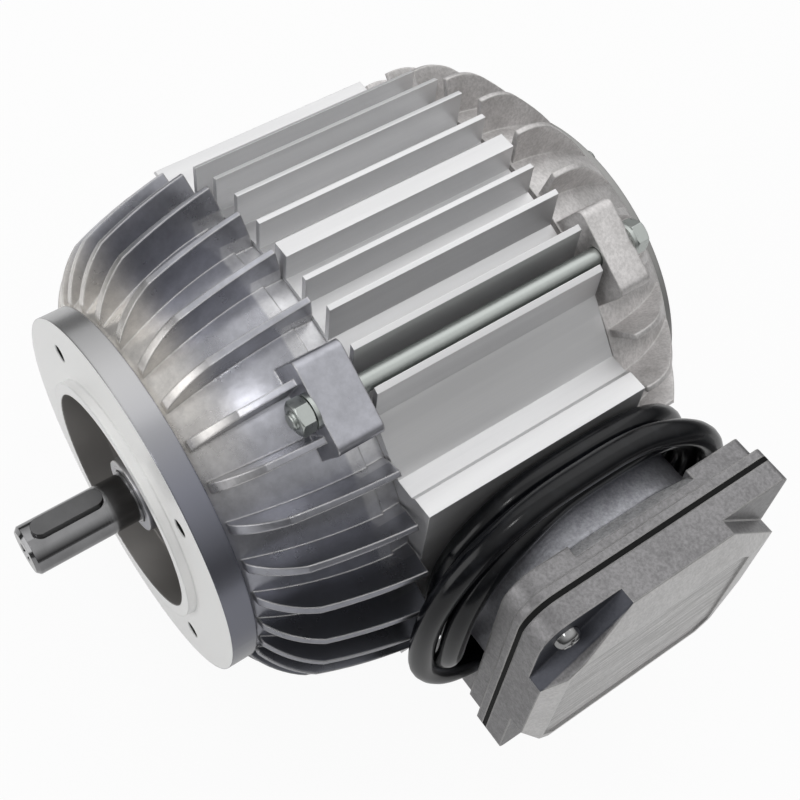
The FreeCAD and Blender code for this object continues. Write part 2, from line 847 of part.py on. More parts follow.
def key_form(wide, length, high):
    """A bar with round ends, as long and wide as the key, on the shaft's upper side."""
    start = "-shaft_reach + key_set"
    floor = "shaft_radius - key_seat"
    round_start = f"{start} + ({wide}) / 2"
    round_end = f"{start} + ({length}) - ({wide}) / 2"
    bar = block(f"-({wide}) / 2", round_start, floor, wide, f"({length}) - ({wide})", high)
    ends = [cylinder("z", f"({wide}) / 2", high, "0", place, floor)
            for place in (round_start, round_end)]
    return fuse(bar, *ends)


def shaft_key():
    """Parallel key with round ends."""
    return key_form("key_width", "key_length", "key_height")


def rotor_core():
    """Laminated core of the rotor with holes for the cage bars."""
    bars = cage_bars(CORE_START, CORE_LENGTH, "bar_radius")
    return cut(ring("core_bore - air_gap", "shaft_body + fit_gap", CORE_START, CORE_LENGTH),
               *bars)


def cage_bars(start, length, radius):
    """Round bars spaced evenly round the shaft."""
    bars = []
    for number in range(CAGE_BARS):
        x, z = around("bar_circle", 360 / CAGE_BARS * number)
        bars.append(cylinder("y", radius, length, x, start, z))
    return bars


def rotor_cage():
    """Cast cage: bars through the core and a short-circuit ring at each end."""
    bars = cage_bars(f"{CORE_START} - overlap", f"{CORE_LENGTH} + 2 * overlap",
                     "bar_radius - fit_gap")
    front = ring("cage_outer", "cage_bore", f"{CORE_START} - cage_ring", "cage_ring")
    rear = ring("cage_outer", "cage_bore", CORE_END, "cage_ring")
    return fuse(front, rear, *bars)


def race(start):
    """The ring-shaped path that a bearing's balls roll in."""
    thing = solid("Torus", {"Radius1": "ball_circle", "Radius2": "race_radius"},
                  y=f"{start} + bearing_width / 2")
    thing.Placement.Rotation = TURN_TO["y"]
    return thing


def outer_ring(start):
    """Outer ring of a ball bearing."""
    return cut(ring("bearing_outer", "outer_ring", start, "bearing_width"), race(start))


def inner_ring(start):
    """Inner ring of a ball bearing."""
    return cut(ring("inner_ring", "bearing_bore + fit_gap", start, "bearing_width"), race(start))


def bearing_balls(start):
    """Balls of one bearing, evenly spaced."""
    balls = []
    for number in range(BEARING_BALLS):
        x, z = around("ball_circle", 360 / BEARING_BALLS * number)
        balls.append(solid("Sphere", {"Radius": "ball_radius"}, x,
                           f"{start} + bearing_width / 2", z))
    return group(*balls)


def bearing_cage(start):
    """Cage that keeps the balls of one bearing apart."""
    middle = f"{start} + bearing_width / 2"
    band = ring("ball_circle + cage_wall", "ball_circle - cage_wall",
                f"{middle} - cage_width / 2", "cage_width")
    pockets = []
    for number in range(BEARING_BALLS):
        x, z = around("ball_circle", 360 / BEARING_BALLS * number)
        pockets.append(solid("Sphere", {"Radius": "ball_radius + hole_gap"}, x, middle, z))
    return cut(band, *pockets)


def bearing_wave_spring():
    """Wave washer that preloads the front bearing, drawn at its working height."""
    outer = "bearing_outer - run_gap"
    return ring(outer, f"{outer} - wave_width", "front_bearing - wave_height", "wave_height")


def rear_bearing_circlip():
    """Retaining ring behind the rear bearing's inner ring."""
    return ring("bearing_bore + circlip_rise", "bearing_bore + fit_gap", REAR_BEARING_END,
                "circlip_thickness")


def brake_hub():
    """Hexagon hub on the shaft, which carries the friction disc."""
    bar = prism("y", "hub_flats", "hub_length", y=f"{FRICTION_FACE} + run_gap")
    hole = cylinder("y", "brake_seat + fit_gap", "hub_length + 2 * overlap",
                    y=f"{FRICTION_FACE} - overlap")
    return cut(bar, hole)


def brake_hub_circlip():
    """Retaining ring behind the brake hub."""
    start = f"{FRICTION_FACE} + run_gap + hub_length"
    return ring("brake_seat + circlip_rise", "brake_seat + fit_gap", start, "circlip_thickness")


def brake_disc():
    """Disc that slides on the hexagon hub."""
    hole = prism("y", "hub_flats + 2 * hole_gap", "disc_thickness + 2 * overlap",
                 y=f"{DISC_START} - overlap")
    return cut(cylinder("y", "disc_radius", "disc_thickness", y=DISC_START), hole)


def brake_linings():
    """Friction rings bonded to both faces of the disc."""
    return group(
        ring("disc_radius", "lining_bore", f"{DISC_START} - lining_thickness", "lining_thickness"),
        ring("disc_radius", "lining_bore", DISC_END, "lining_thickness"))


def brake_armature():
    """Steel plate that the springs press on the disc and the magnet draws back."""
    plate = ring("magnet_radius", "armature_bore", ARMATURE_START, "armature_thickness")
    notches = []
    for angle in THIRDS:
        x, z = around("sleeve_circle", angle)
        notches.append(cylinder("y", "sleeve_radius + run_gap", "armature_thickness + 2 * overlap",
                                x, f"{ARMATURE_START} - overlap", z))
    return cut(plate, *notches)


def brake_magnet():
    """Magnet body with a groove for its coil, pockets for its springs and sunk screw holes."""
    form = ring("magnet_radius", "magnet_bore", MAGNET_START, "magnet_depth")
    tools = [ring("coil_end", "coil_start", f"{MAGNET_START} - overlap", "coil_depth + overlap")]
    for angle in THIRDS:
        x, z = around("sleeve_circle", angle)
        tools.append(cylinder("y", "brake_screw + hole_gap", "magnet_depth + 2 * overlap",
                              x, f"{MAGNET_START} - overlap", z))
        tools.append(cylinder("y", "brake_screw_head + hole_gap", "brake_screw_sink + overlap",
                              x, f"{MAGNET_END} - brake_screw_sink", z))
    for angle in SPRING_ANGLES:
        x, z = around("sleeve_circle", angle)
        tools.append(cylinder("y", "spring_radius + hole_gap", "spring_pocket + overlap",
                              x, f"{MAGNET_START} - overlap", z))
    return cut(form, *tools)


def brake_coil():
    """Coil in the magnet's groove."""
    return ring("coil_end - hole_gap", "coil_start + hole_gap", f"{MAGNET_START} + hole_gap",
                "coil_depth - hole_gap")


def brake_springs():
    """Pressure springs between magnet and armature, drawn as tubes at their working length."""
    springs = []
    for angle in SPRING_ANGLES:
        x, z = around("sleeve_circle", angle)
        hole = cylinder("y", "spring_radius - spring_wire", "spring_pocket + 2 * overlap",
                        x, f"{MAGNET_START} - overlap", z)
        springs.append(cut(cylinder("y", "spring_radius", "spring_pocket", x, MAGNET_START, z),
                           hole))
    return group(*springs)


def brake_sleeves():
    """Spacer sleeves that hold the magnet clear of the friction face."""
    length = f"{MAGNET_START} - {FRICTION_FACE}"
    sleeves = []
    for angle in THIRDS:
        x, z = around("sleeve_circle", angle)
        hole = cylinder("y", "brake_screw + hole_gap", f"{length} + 2 * overlap",
                        x, f"{FRICTION_FACE} - overlap", z)
        sleeves.append(cut(cylinder("y", "sleeve_radius", length, x, FRICTION_FACE, z), hole))
    return group(*sleeves)


def brake_screws():
    """Screws that hold the magnet on the rear shield."""
    screws = []
    for angle in THIRDS:
        x, z = around("sleeve_circle", angle)
        seat = f"{MAGNET_END} - brake_screw_sink"
        shank = cylinder("y", "brake_screw", f"{seat} - {REAR_BEARING_END}",
                         x, REAR_BEARING_END, z)
        screws.append(fuse(shank, cylinder("y", "brake_screw_head", "brake_screw_sink",
                                           x, seat, z)))
    return group(*screws)


def rear_cover():
    """Pressed cover over the brake chamber."""
    rim_end = f"{SHIELD_END} + cover_sheet"
    top = f"{rim_end} + cover_rise"
    body = turn([
        ("0", f"{top} - cover_sheet"),
        ("cover_dome - cover_sheet - cover_bevel", f"{top} - cover_sheet"),
        ("cover_dome - cover_sheet", f"{top} - cover_sheet - cover_bevel"),
        ("cover_dome - cover_sheet", SHIELD_END),
        ("cover_rim", SHIELD_END),
        ("cover_rim", rim_end),
        ("cover_dome", rim_end),
        ("cover_dome", f"{top} - cover_bevel"),
        ("cover_dome - cover_bevel", top),
        ("0", top),
    ])
    holes = []
    for angle in THIRDS:
        x, z = around("cover_screw_circle", angle)
        holes.append(cylinder("y", "cover_screw + hole_gap", "cover_sheet + 2 * overlap",
                              x, f"{SHIELD_END} - overlap", z))
        holes.append(cylinder("y", "cover_screw_head + hole_gap", "cover_rise + overlap",
                              x, rim_end, z))
    return cut(body, *holes)


def rear_cover_screws():
    """Screws that hold the rear cover."""
    screws = []
    for angle in THIRDS:
        x, z = around("cover_screw_circle", angle)
        seat = f"{SHIELD_END} + cover_sheet"
        shank = cylinder("y", "cover_screw", "cover_screw_depth + cover_sheet",
                         x, f"{SHIELD_END} - cover_screw_depth", z)
        head = cylinder("y", "cover_screw_head", "cover_screw_rise", x, seat, z)
        screws.append(fuse(shank, head))
    return group(*screws)


def box_screw_places():
    """Where the terminal box is screwed to the pad, as (Y, Z)."""
    return [(f"{NECK_MIDDLE} + {along} * box_screw_along", f"{across} * box_screw_across")
            for along in (-1, 1) for across in (-1, 1)]


def lid_screw_places():
    """Where the lid is screwed down, at two corners that face each other, as (Y, Z)."""
    return [("box_front + lid_screw_inset", "box_half - lid_screw_inset"),
            (f"{BOX_REAR} - lid_screw_inset", "-box_half + lid_screw_inset")]


def neck_outline(inset):
    """Outline of the box's neck, set in by a wall."""
    corner = f"(neck_corner - {inset})"
    return rounded(f"(neck_front + {inset})", f"({NECK_REAR} - {inset})", f"(neck_half - {inset})",
                   corner, corner)


def box_outline(inset):
    """Outline of the box's rim, set in by a wall, rounder at the two corners with lid screws."""
    return rounded(f"(box_front + {inset})", f"({BOX_REAR} - {inset})", f"(box_half - {inset})",
                   "box_edge", "box_corner")


def box_feet():
    """Blocks under the tray's four corners, on the side of the wound cable, and a bar that joins
    the two at the front."""
    start = f"({COIL_END} + run_gap)"
    form = new_body()
    pad_along_x(form, start, f"{LIP_START} - {start}", box_outline("tray_inset"))
    corners = [block(start, "box_front", "-box_half", f"{LIP_START} - {start}", "box_bar",
                     "2 * box_half")]
    for along in ("box_front", f"{BOX_REAR} - box_foot_along"):
        for across in ("-box_half", "box_half - box_foot_across"):
            corners.append(block(start, along, across, f"{LIP_START} - {start}",
                                 "box_foot_along", "box_foot_across"))
    return common(form, fuse(*corners))


def terminal_box():
    """Cast box: neck, flare, tray with feet and lip, screw pillars and a gland block below."""
    body = new_body()
    pad_along_x(body, NECK_START, "neck_height", neck_outline("0"))
    tray = new_body()
    pad_along_x(tray, TRAY_START, "tray_height", box_outline("tray_inset"))
    lip = new_body()
    pad_along_x(lip, LIP_START, "lip_height", box_outline("0"))
    flare = new_body()
    loft_along_x(flare, NECK_END, neck_outline("0"), TRAY_START, box_outline("tray_inset"))
    room = new_body()
    pad_along_x(room, BOX_FLOOR, f"{LIP_END} - {BOX_FLOOR} + overlap", neck_outline("box_wall"))
    wide_room = new_body()
    pad_along_x(wide_room, TRAY_START, f"{LIP_END} - {TRAY_START} + overlap",
                box_outline("(tray_inset + box_wall)"))
    pillars = []
    holes = [cylinder("x", "wire_hole", "floor_height + 2 * overlap", f"{NECK_START} - overlap",
                      "wire_hole_along", "0")]
    for along, across in lid_screw_places():
        pillars.append(cylinder("x", "screw_pillar", "lid_screw_depth",
                                f"{LIP_END} - lid_screw_depth", along, across))
        holes.append(cylinder("x", "lid_screw + fit_gap", "lid_screw_depth + 2 * overlap",
                              f"{LIP_END} - lid_screw_depth - overlap", along, across))
    for along, across in box_screw_places():
        holes.append(cylinder("x", "box_screw + hole_gap", "floor_height + 2 * overlap",
                              f"{NECK_START} - overlap", along, across))
    gland_top = "-gland_drop + gland_block_half"
    gland_low = "-gland_drop - gland_block_half"
    web = block("gland_web", "gland_along", gland_top, f"{LIP_START} - gland_web",
                "gland_block", "gland_drop - gland_block_half - neck_half + box_wall")
    heel = block(f"{COIL_THIRD} - gland_block_half", "gland_along", gland_low,
                 f"{LIP_START} - {COIL_THIRD} + gland_block_half", "gland_block",
                 "2 * gland_block_half")
    holes.append(cylinder("y", "gland_thread + fit_gap", "gland_block - box_wall + overlap",
                          COIL_THIRD, "gland_along + box_wall", "-gland_drop"))
    shell = cut(fuse(body, flare, tray, lip, box_feet()), room, wide_room)
    return cut(fuse(shell, web, heel, *pillars), *holes)


def terminal_base_gasket():
    """Flat gasket between the pad and the box's neck."""
    body = new_body()
    pad_along_x(body, "pad_face", "base_gasket", neck_outline("0"))
    through = "base_gasket + 2 * overlap"
    start = "pad_face - overlap"
    holes = [cylinder("x", "wire_hole", through, start, "wire_hole_along", "0")]
    for along, across in box_screw_places():
        holes.append(cylinder("x", "box_screw + hole_gap", through, start, along, across))
    return cut(body, *holes)


def terminal_lid_gasket():
    """Gasket between the box's lip and the lid."""
    body = new_body()
    pad_along_x(body, LIP_END, "lid_gasket", box_outline("0"))
    through = "lid_gasket + 2 * overlap"
    start = f"{LIP_END} - overlap"
    room = new_body()
    pad_along_x(room, start, through, box_outline("(tray_inset + box_wall)"))
    holes = [cylinder("x", "lid_screw + hole_gap", through, start, along, across)
             for along, across in lid_screw_places()]
    return cut(body, room, *holes)


def terminal_lid():
    """Cast lid: rim with four corner pockets and a raised panel with a bevelled, sunk crown."""
    body = new_body()
    pad_along_x(body, LID_START, "lid_rim", box_outline("0"))
    panel = cornered("box_front", BOX_REAR, "box_half", "lid_pocket")
    pad_along_x(body, LID_STEP, "lid_wall", panel)
    loft_along_x(body, LID_EDGE, panel, LID_FACE, crown_outline("0"))
    recess = new_body()
    pad_along_x(recess, f"{LID_FACE} - crown_recess", "crown_recess + overlap",
                crown_outline("crown_border"))
    room = new_body()
    pad_along_x(room, f"{LID_START} - overlap", f"{LID_EDGE} - {LID_START} - lid_skin + overlap",
                cornered("(box_front + lid_skin + tray_inset)",
                         f"({BOX_REAR} - lid_skin - tray_inset)",
                         "(box_half - lid_skin - tray_inset)", "lid_pocket"))
    holes = [cylinder("x", "lid_screw + hole_gap", "lid_rim + 2 * overlap",
                      f"{LID_START} - overlap", along, across)
             for along, across in lid_screw_places()]
    return cut(body, room, recess, *holes)


def crown_outline(inset):
    """Outline of the lid's crown, set in by a border."""
    return cornered(f"(box_front + crown_front + {inset})", f"({BOX_REAR} - crown_rear - {inset})",
                    f"(box_half - crown_side - {inset})", "crown_corner")


def lid_screws():
    """Pan-head screws in two of the lid's corner pockets."""
    screws = []
    for along, across in lid_screw_places():
        tip = f"{LIP_END} - lid_screw_depth + overlap"
        shank = cylinder("x", "lid_screw", f"{LID_STEP} - ({tip})", tip, along, across)
        head = cylinder("x", "lid_screw_head", "lid_screw_rise", LID_STEP, along, across)
        screws.append(fuse(shank, head))
    return group(*screws)


def box_screws():
    """Screws that hold the box on the pad."""
    screws = []
    for along, across in box_screw_places():
        shank = cylinder("x", "box_screw", f"{BOX_FLOOR} - pad_face + box_screw_depth",
                         "pad_face - box_screw_depth", along, across)
        head = cylinder("x", "box_screw_head", "box_screw_rise", BOX_FLOOR, along, across)
        screws.append(fuse(shank, head))
    return group(*screws)


def stud_places():
    """Where the terminal studs stand on the board, as (Y, Z)."""
    return [(f"board_along + {row} * stud_row", f"{place} * stud_pitch")
            for row in (-0.5, 0.5) for place in (-1, 0, 1)]


def terminal_board():
    """Terminal board in the box."""
    board = block(BOX_FLOOR, "board_along - board_width / 2", "-board_length / 2",
                  "board_height", "board_width", "board_length")
    holes = [cylinder("x", "stud_radius + fit_gap", "board_height", f"{BOX_FLOOR} + board_skin",
                      along, across) for along, across in stud_places()]
    return cut(board, *holes)


def terminal_studs():
    """Six studs of the terminal board."""
    return group(*[cylinder("x", "stud_radius", "board_height - board_skin + stud_rise",
                            f"{BOX_FLOOR} + board_skin", along, across)
                   for along, across in stud_places()])


def terminal_nuts():
    """Nuts on the terminal studs."""
    nuts = []
    start = f"{BOX_FLOOR} + board_height"
    for along, across in stud_places():
        hole = cylinder("x", "stud_radius + fit_gap", "stud_nut_height + 2 * overlap",
                        f"{start} - overlap", along, across)
        nuts.append(cut(prism("x", "stud_nut_flats", "stud_nut_height", start, along, across),
                        hole))
    return group(*nuts)


def brake_rectifier():
    """Potted rectifier that feeds the brake's coil."""
    return block(BOX_FLOOR, "rectifier_along - rectifier_length / 2", "-rectifier_width / 2",
                 "rectifier_height", "rectifier_length", "rectifier_width")


def earth_screw():
    """Earth screw on the box's floor."""
    return prism("x", "stud_nut_flats", "earth_rise", BOX_FLOOR, "earth_along", "earth_across")


def cable_gland():
    """Body of the cable gland, screwed into the block under the box."""
    thread = cylinder("y", "gland_thread", "gland_block - box_wall", COIL_THIRD,
                      "gland_along + box_wall", "-gland_drop")
    hexagon = prism("y", "gland_flats", "gland_hex", COIL_THIRD, GLAND_FACE, "-gland_drop")
    return fuse(thread, hexagon)


def cable_gland_nut():
    """Pressure nut of the cable gland."""
    return prism("y", "gland_nut_flats", "gland_nut", COIL_THIRD, GLAND_NUT_FACE, "-gland_drop")


def coil_band(start, length):
    """A band round the box's neck, as thick as the cable."""
    body = new_body()
    pad_along_x(body, start, length, coil_outline("cable_radius"))
    inside = new_body()
    pad_along_x(inside, f"{start} - overlap", f"{length} + 2 * overlap",
                coil_outline("-cable_radius"))
    return cut(body, inside)


def coil_outline(out):
    """Outline of the wound turns, set outwards from the cable's middle."""
    corner = f"(coil_corner + {out})"
    return rounded(f"(coil_centre - coil_half_along - ({out}))",
                   f"(coil_centre + coil_half_along + {out})", f"(coil_half_up + {out})",
                   corner, corner)


def cable_coil():
    """Outer shape of the wound cable: two whole turns, and the upper part of a third turn."""
    whole = coil_band(COIL_START, f"{COIL_SECOND_END} - {COIL_START}")
    third = coil_band(f"{COIL_SECOND_END} - overlap", f"{COIL_END} - {COIL_SECOND_END} + overlap")
    low = block(COIL_SECOND_END, "coil_centre - coil_half_along - 2 * cable_radius",
                "-coil_half_up - 2 * cable_radius", "4 * cable_radius",
                "2 * coil_half_along + 4 * cable_radius",
                "coil_half_up + 2 * cable_radius - coil_third_low")
    end_room = block(f"{COIL_START} - overlap", CORES_START, "-coil_half_up - 2 * cable_radius",
                     "2 * cable_radius + overlap", "core_bare + 2 * cable_radius",
                     "4 * cable_radius")
    return cut(fuse(whole, third), low, end_room)


def cable_cores():
    """Bare cores at the cable's free end, under the box's neck."""
    cores = []
    for across in (-1, 1):
        for up in (-1, 1):
            cores.append(cylinder(
                "y", "core_radius", "core_bare",
                f"{COIL_START} + cable_radius + {across} * core_spread", CORES_START,
                f"-coil_half_up + {up} * core_spread"))
    return group(*cores)


def cable_lead():
    """Cable from the gland to the third turn: straight runs joined by tangent arcs."""
    side = size(COIL_THIRD)
    start = size(LEAD_START)
    rear = size("coil_centre + coil_half_along")
    turns = [math.radians(angle) for angle in LEAD_ANGLES]
    run = (rear - start) / sum(math.cos(angle) for angle in turns)
    route = [FreeCAD.Vector(side, start, -size("gland_drop"))]
    for angle in turns:
        route.append(route[-1] + FreeCAD.Vector(0, math.cos(angle), math.sin(angle)) * run)
    route.append(FreeCAD.Vector(side, rear, -size("coil_third_low")))
    thing = doc.addObject("Part::Feature", "lead")
    thing.Shape = tube_along(route, size("cable_radius"))
    return thing


def tube_along(route, radius):
    """A round tube along straight runs, with each corner as wide an arc as its runs allow."""
    edges = []
    here = route[0]
    for before, corner, after in zip(route, route[1:], route[2:]):
        into = (corner - before).normalize()
        out = (after - corner).normalize()
        half_turn = into.getAngle(out) / 2
        reach = BEND_SHARE * min((corner - before).Length, (after - corner).Length)
        begin = corner - into * reach
        end = corner + out * reach
        bend = reach / math.tan(half_turn)
        print("cable bend radius %.1f" % bend)
        inward = (out - into).normalize()
        middle = corner + inward * (bend / math.cos(half_turn) - bend)
        edges.append(Part.LineSegment(here, begin).toShape())
        edges.append(Part.Arc(begin, middle, end).toShape())
        here = end
    edges.append(Part.LineSegment(here, route[-1]).toShape())
    path = Part.Wire(edges)
    facing = route[1] - route[0]
    section = Part.Wire([Part.Circle(route[0], facing, radius).toShape()])
    return path.makePipeShell([section], True, False)


SUB_PARTS = {
    "drive_end_shield": drive_end_shield,
    "stator_housing": stator_housing,
    "brake_end_shield": brake_end_shield,
    "tie_rods": tie_rods,
    "tie_rod_washers": tie_rod_washers,
    "tie_rod_nuts": tie_rod_nuts,
    "stator_core": stator_core,
    "stator_winding": stator_winding,
    "rotor_shaft": rotor_shaft,
    "shaft_key": shaft_key,
    "rotor_core": rotor_core,
    "rotor_cage": rotor_cage,
    "front_bearing_outer_ring": lambda: outer_ring("front_bearing"),
    "front_bearing_inner_ring": lambda: inner_ring("front_bearing"),
    "front_bearing_balls": lambda: bearing_balls("front_bearing"),
    "front_bearing_cage": lambda: bearing_cage("front_bearing"),
    "rear_bearing_outer_ring": lambda: outer_ring(REAR_BEARING),
    "rear_bearing_inner_ring": lambda: inner_ring(REAR_BEARING),
    "rear_bearing_balls": lambda: bearing_balls(REAR_BEARING),
    "rear_bearing_cage": lambda: bearing_cage(REAR_BEARING),
    "bearing_wave_spring": bearing_wave_spring,
    "rear_bearing_circlip": rear_bearing_circlip,
    "brake_hub": brake_hub,
    "brake_hub_circlip": brake_hub_circlip,
    "brake_disc": brake_disc,
    "brake_linings": brake_linings,
    "brake_armature": brake_armature,
    "brake_magnet": brake_magnet,
    "brake_coil": brake_coil,
    "brake_springs": brake_springs,
    "brake_sleeves": brake_sleeves,
    "brake_screws": brake_screws,
    "rear_cover": rear_cover,
    "rear_cover_screws": rear_cover_screws,
    "terminal_box": terminal_box,
    "terminal_base_gasket": terminal_base_gasket,
    "terminal_lid_gasket": terminal_lid_gasket,
    "terminal_lid": terminal_lid,
    "lid_screws": lid_screws,
    "box_screws": box_screws,
    "terminal_board": terminal_board,
    "terminal_studs": terminal_studs,
    "terminal_nuts": terminal_nuts,
    "brake_rectifier": brake_rectifier,
    "earth_screw": earth_screw,
    "cable_gland": cable_gland,
    "cable_gland_nut": cable_gland_nut,
    "cable_coil": cable_coil,
    "cable_cores": cable_cores,
    "cable_lead": cable_lead,
}

finished = []
for label, make in SUB_PARTS.items():
    piece = make()
    piece.Label = label
    finished.append(piece)
doc.recompute()

for thing in doc.Objects:
    if "Invalid" in thing.State or "Error" in thing.State:
        raise RuntimeError("%s (%s) failed" % (thing.Name, thing.Label))
for piece in finished:
    if piece.Shape.isNull() or not piece.Shape.isValid() or not piece.Shape.Solids:
        raise RuntimeError("%s has no valid solid" % piece.Label)

os.makedirs("parts", exist_ok=True)
for piece in finished:
    piece.Shape.exportStep("parts/%s.step" % piece.Label)
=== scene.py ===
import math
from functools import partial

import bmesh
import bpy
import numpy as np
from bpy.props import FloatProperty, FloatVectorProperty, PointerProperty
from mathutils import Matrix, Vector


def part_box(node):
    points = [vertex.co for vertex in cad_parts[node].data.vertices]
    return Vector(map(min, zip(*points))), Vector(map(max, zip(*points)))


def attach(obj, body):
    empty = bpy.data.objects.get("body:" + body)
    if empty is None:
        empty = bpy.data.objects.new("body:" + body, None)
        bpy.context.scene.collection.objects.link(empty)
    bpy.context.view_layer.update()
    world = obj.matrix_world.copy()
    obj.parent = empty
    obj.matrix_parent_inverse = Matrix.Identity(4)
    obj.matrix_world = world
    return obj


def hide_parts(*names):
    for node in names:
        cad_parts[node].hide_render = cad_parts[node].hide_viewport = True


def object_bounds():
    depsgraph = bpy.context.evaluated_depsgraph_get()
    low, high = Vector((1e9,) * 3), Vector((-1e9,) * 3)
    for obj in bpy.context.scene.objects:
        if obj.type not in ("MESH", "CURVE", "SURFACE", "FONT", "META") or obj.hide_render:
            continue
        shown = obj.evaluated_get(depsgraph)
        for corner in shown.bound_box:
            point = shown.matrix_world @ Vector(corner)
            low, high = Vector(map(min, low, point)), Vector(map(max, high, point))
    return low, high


bl_info = {
    "name": "Door Motor With Brake",
    "version": (1, 0, 0),
    "blender": (4, 5, 0),
    "location": "View3D > Sidebar > Door Motor",
    "description": "Finishes, fasteners, cable and studio for a face-mounted door motor",
    "category": "Object",
}

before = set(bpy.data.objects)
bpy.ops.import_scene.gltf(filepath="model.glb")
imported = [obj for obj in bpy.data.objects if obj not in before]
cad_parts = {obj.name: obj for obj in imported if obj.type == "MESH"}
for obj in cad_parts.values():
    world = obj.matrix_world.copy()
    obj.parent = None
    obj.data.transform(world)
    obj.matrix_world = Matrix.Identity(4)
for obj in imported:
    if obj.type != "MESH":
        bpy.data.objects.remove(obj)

CAD_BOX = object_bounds()
MM = 0.001
FULL_TURN = 2 * math.pi
QUARTER_TURN = math.pi / 2


def number_setting(label, about, default, **more):
    """A number that a user may change."""
    return FloatProperty(name=label, description=about, default=default, **more)


def vector_setting(label, about, default, **more):
    """Three numbers that a user may change."""
    return FloatVectorProperty(name=label, description=about, default=default, **more)


length_setting = partial(number_setting, unit="LENGTH", precision=5)
power_setting = partial(number_setting, unit="POWER")
colour_setting = partial(vector_setting, subtype="COLOR", min=0, max=1)
place_setting = partial(vector_setting, subtype="TRANSLATION", unit="LENGTH")
direction_setting = partial(vector_setting, subtype="DIRECTION")


class StudioSettings(bpy.types.PropertyGroup):
    """Camera, floor, room and lamps"""

    camera_place: place_setting("Camera place", "Where it stands", (0.16722, -0.06132, 0.31460))
    camera_forward: direction_setting("Looking", "Direction in which the camera looks",
                                      (-0.406364, 0.372313, -0.834417))
    camera_up: direction_setting("Upwards", "Direction that points up in the picture",
                                 (-0.706592, 0.450946, 0.545322))
    camera_lens: number_setting("Lens", "Focal length in mm, on a sensor 36 mm wide", 59.733)
    floor_tone: colour_setting("Floor", "Pale floor under the motor", (0.72, 0.72, 0.72))
    floor_reach: length_setting("Floor reach", "Half the floor's width", 0.4)
    floor_seen: number_setting("Floor seen", "Share of white that the camera sees", 0.94)
    floor_mirrored: number_setting("Floor mirrored", "Share of white that metal shows", 0.30)
    room_tone: colour_setting("Room", "Colour of the room's soft light", (1, 1, 1))
    room_low: number_setting("Room low", "Level of the room's light on its dark side", 0.12)
    room_high: number_setting("Room high", "Level of the room's light on its bright side", 1.05)
    room_horizon: number_setting("Room horizon", "Share of light left at the horizon", 0.03)
    room_band: number_setting("Room band", "Rise at which the room is fully lit", 0.75)
    room_mirrored: number_setting("Room mirrored", "Share of white that metal shows", 0.05)
    room_bright: direction_setting("Bright side", "Where the room is brightest", (0.40, 0.62, 0.60))
    top_power: power_setting("Top lamp", "Power of the lamp overhead", 4.8)
    top_size: length_setting("Top lamp size", "Width of the lamp overhead", 1.7)
    top_place: place_setting("Top lamp place", "Where it hangs, from the motor", (-0.65, 0.40, 0.75))
    key_power: power_setting("Key lamp", "Power of the small lamp", 0.5)
    key_size: length_setting("Key lamp size", "Width of the small lamp", 0.09)
    key_place: place_setting("Key lamp place", "Where it hangs, from the motor", (0.22, -0.42, 0.88))
    front_power: power_setting("Front lamp", "Power of the lamp before the flange", 3.6)
    front_size: length_setting("Front lamp size", "Width of the lamp before the flange", 0.8)
    front_place: place_setting("Front lamp place", "Where it stands, from the motor",
                               (-0.25, -1.10, 0.25))


class MetalSettings(bpy.types.PropertyGroup):
    """Colours of the motor's metals"""

    polished: colour_setting("Polished casting", "Front shield", (0.92, 0.89, 0.85))
    machined: colour_setting("Machined face", "Turned flange", (0.96, 0.96, 0.95))
    rim: colour_setting("Flange rim", "Edge of the flange", (0.46, 0.46, 0.465))
    extruded: colour_setting("Extrusion", "Finned housing", (0.79, 0.79, 0.795))
    cast: colour_setting("Rough casting", "Rear shield", (0.80, 0.78, 0.775))
    box: colour_setting("Box casting", "Terminal box and lid", (0.265, 0.26, 0.265))
    scoop: colour_setting("Box underside", "Neck of the terminal box", (0.46, 0.465, 0.50))
    zinc: colour_setting("Zinc", "Plated rods and nuts", (0.50, 0.53, 0.51))
    bright: colour_setting("Bright plate", "Screws", (0.34, 0.34, 0.34))
    shaft: colour_setting("Shaft", "Ground steel", (0.27, 0.27, 0.275))
    key: colour_setting("Key", "Drawn steel", (0.12, 0.12, 0.122))
    sheet: colour_setting("Cover sheet", "Rear cover", (0.34, 0.34, 0.33))


class FastenerSettings(bpy.types.PropertyGroup):
    """Tie rods, nuts and screws"""

    rod_circle: length_setting("Rod circle", "Distance of the tie rods from the shaft", 0.0715)
    rod_radius: length_setting("Rod radius", "Radius of a tie rod", 0.0025)
    thread_pitch: length_setting("Thread pitch", "Rise of one turn of a thread", 0.0008)
    thread_depth: length_setting("Thread depth", "Depth of a thread", 0.00035)
    thread_length: length_setting("Thread length", "Threaded part at each end of a rod", 0.009)
    nut_flats: length_setting("Nut flats", "Width of a rod's nut across its flats", 0.008)
    nut_height: length_setting("Nut height", "Height of a rod's nut", 0.004)
    lid_head: length_setting("Lid screw head", "Radius of a lid screw's head", 0.0036)
    lid_rise: length_setting("Lid screw rise", "Height of a lid screw's head", 0.0026)
    cover_head: length_setting("Cover screw head", "Radius of a cover screw's head", 0.0026)
    cover_rise: length_setting("Cover screw rise", "Height of a cover screw's head", 0.0014)
    cover_circle: length_setting("Cover screw circle", "Distance of the cover screws", 0.0468)
    gland_flats: length_setting("Gland nut flats", "Width of the gland's nut across flats", 0.016)


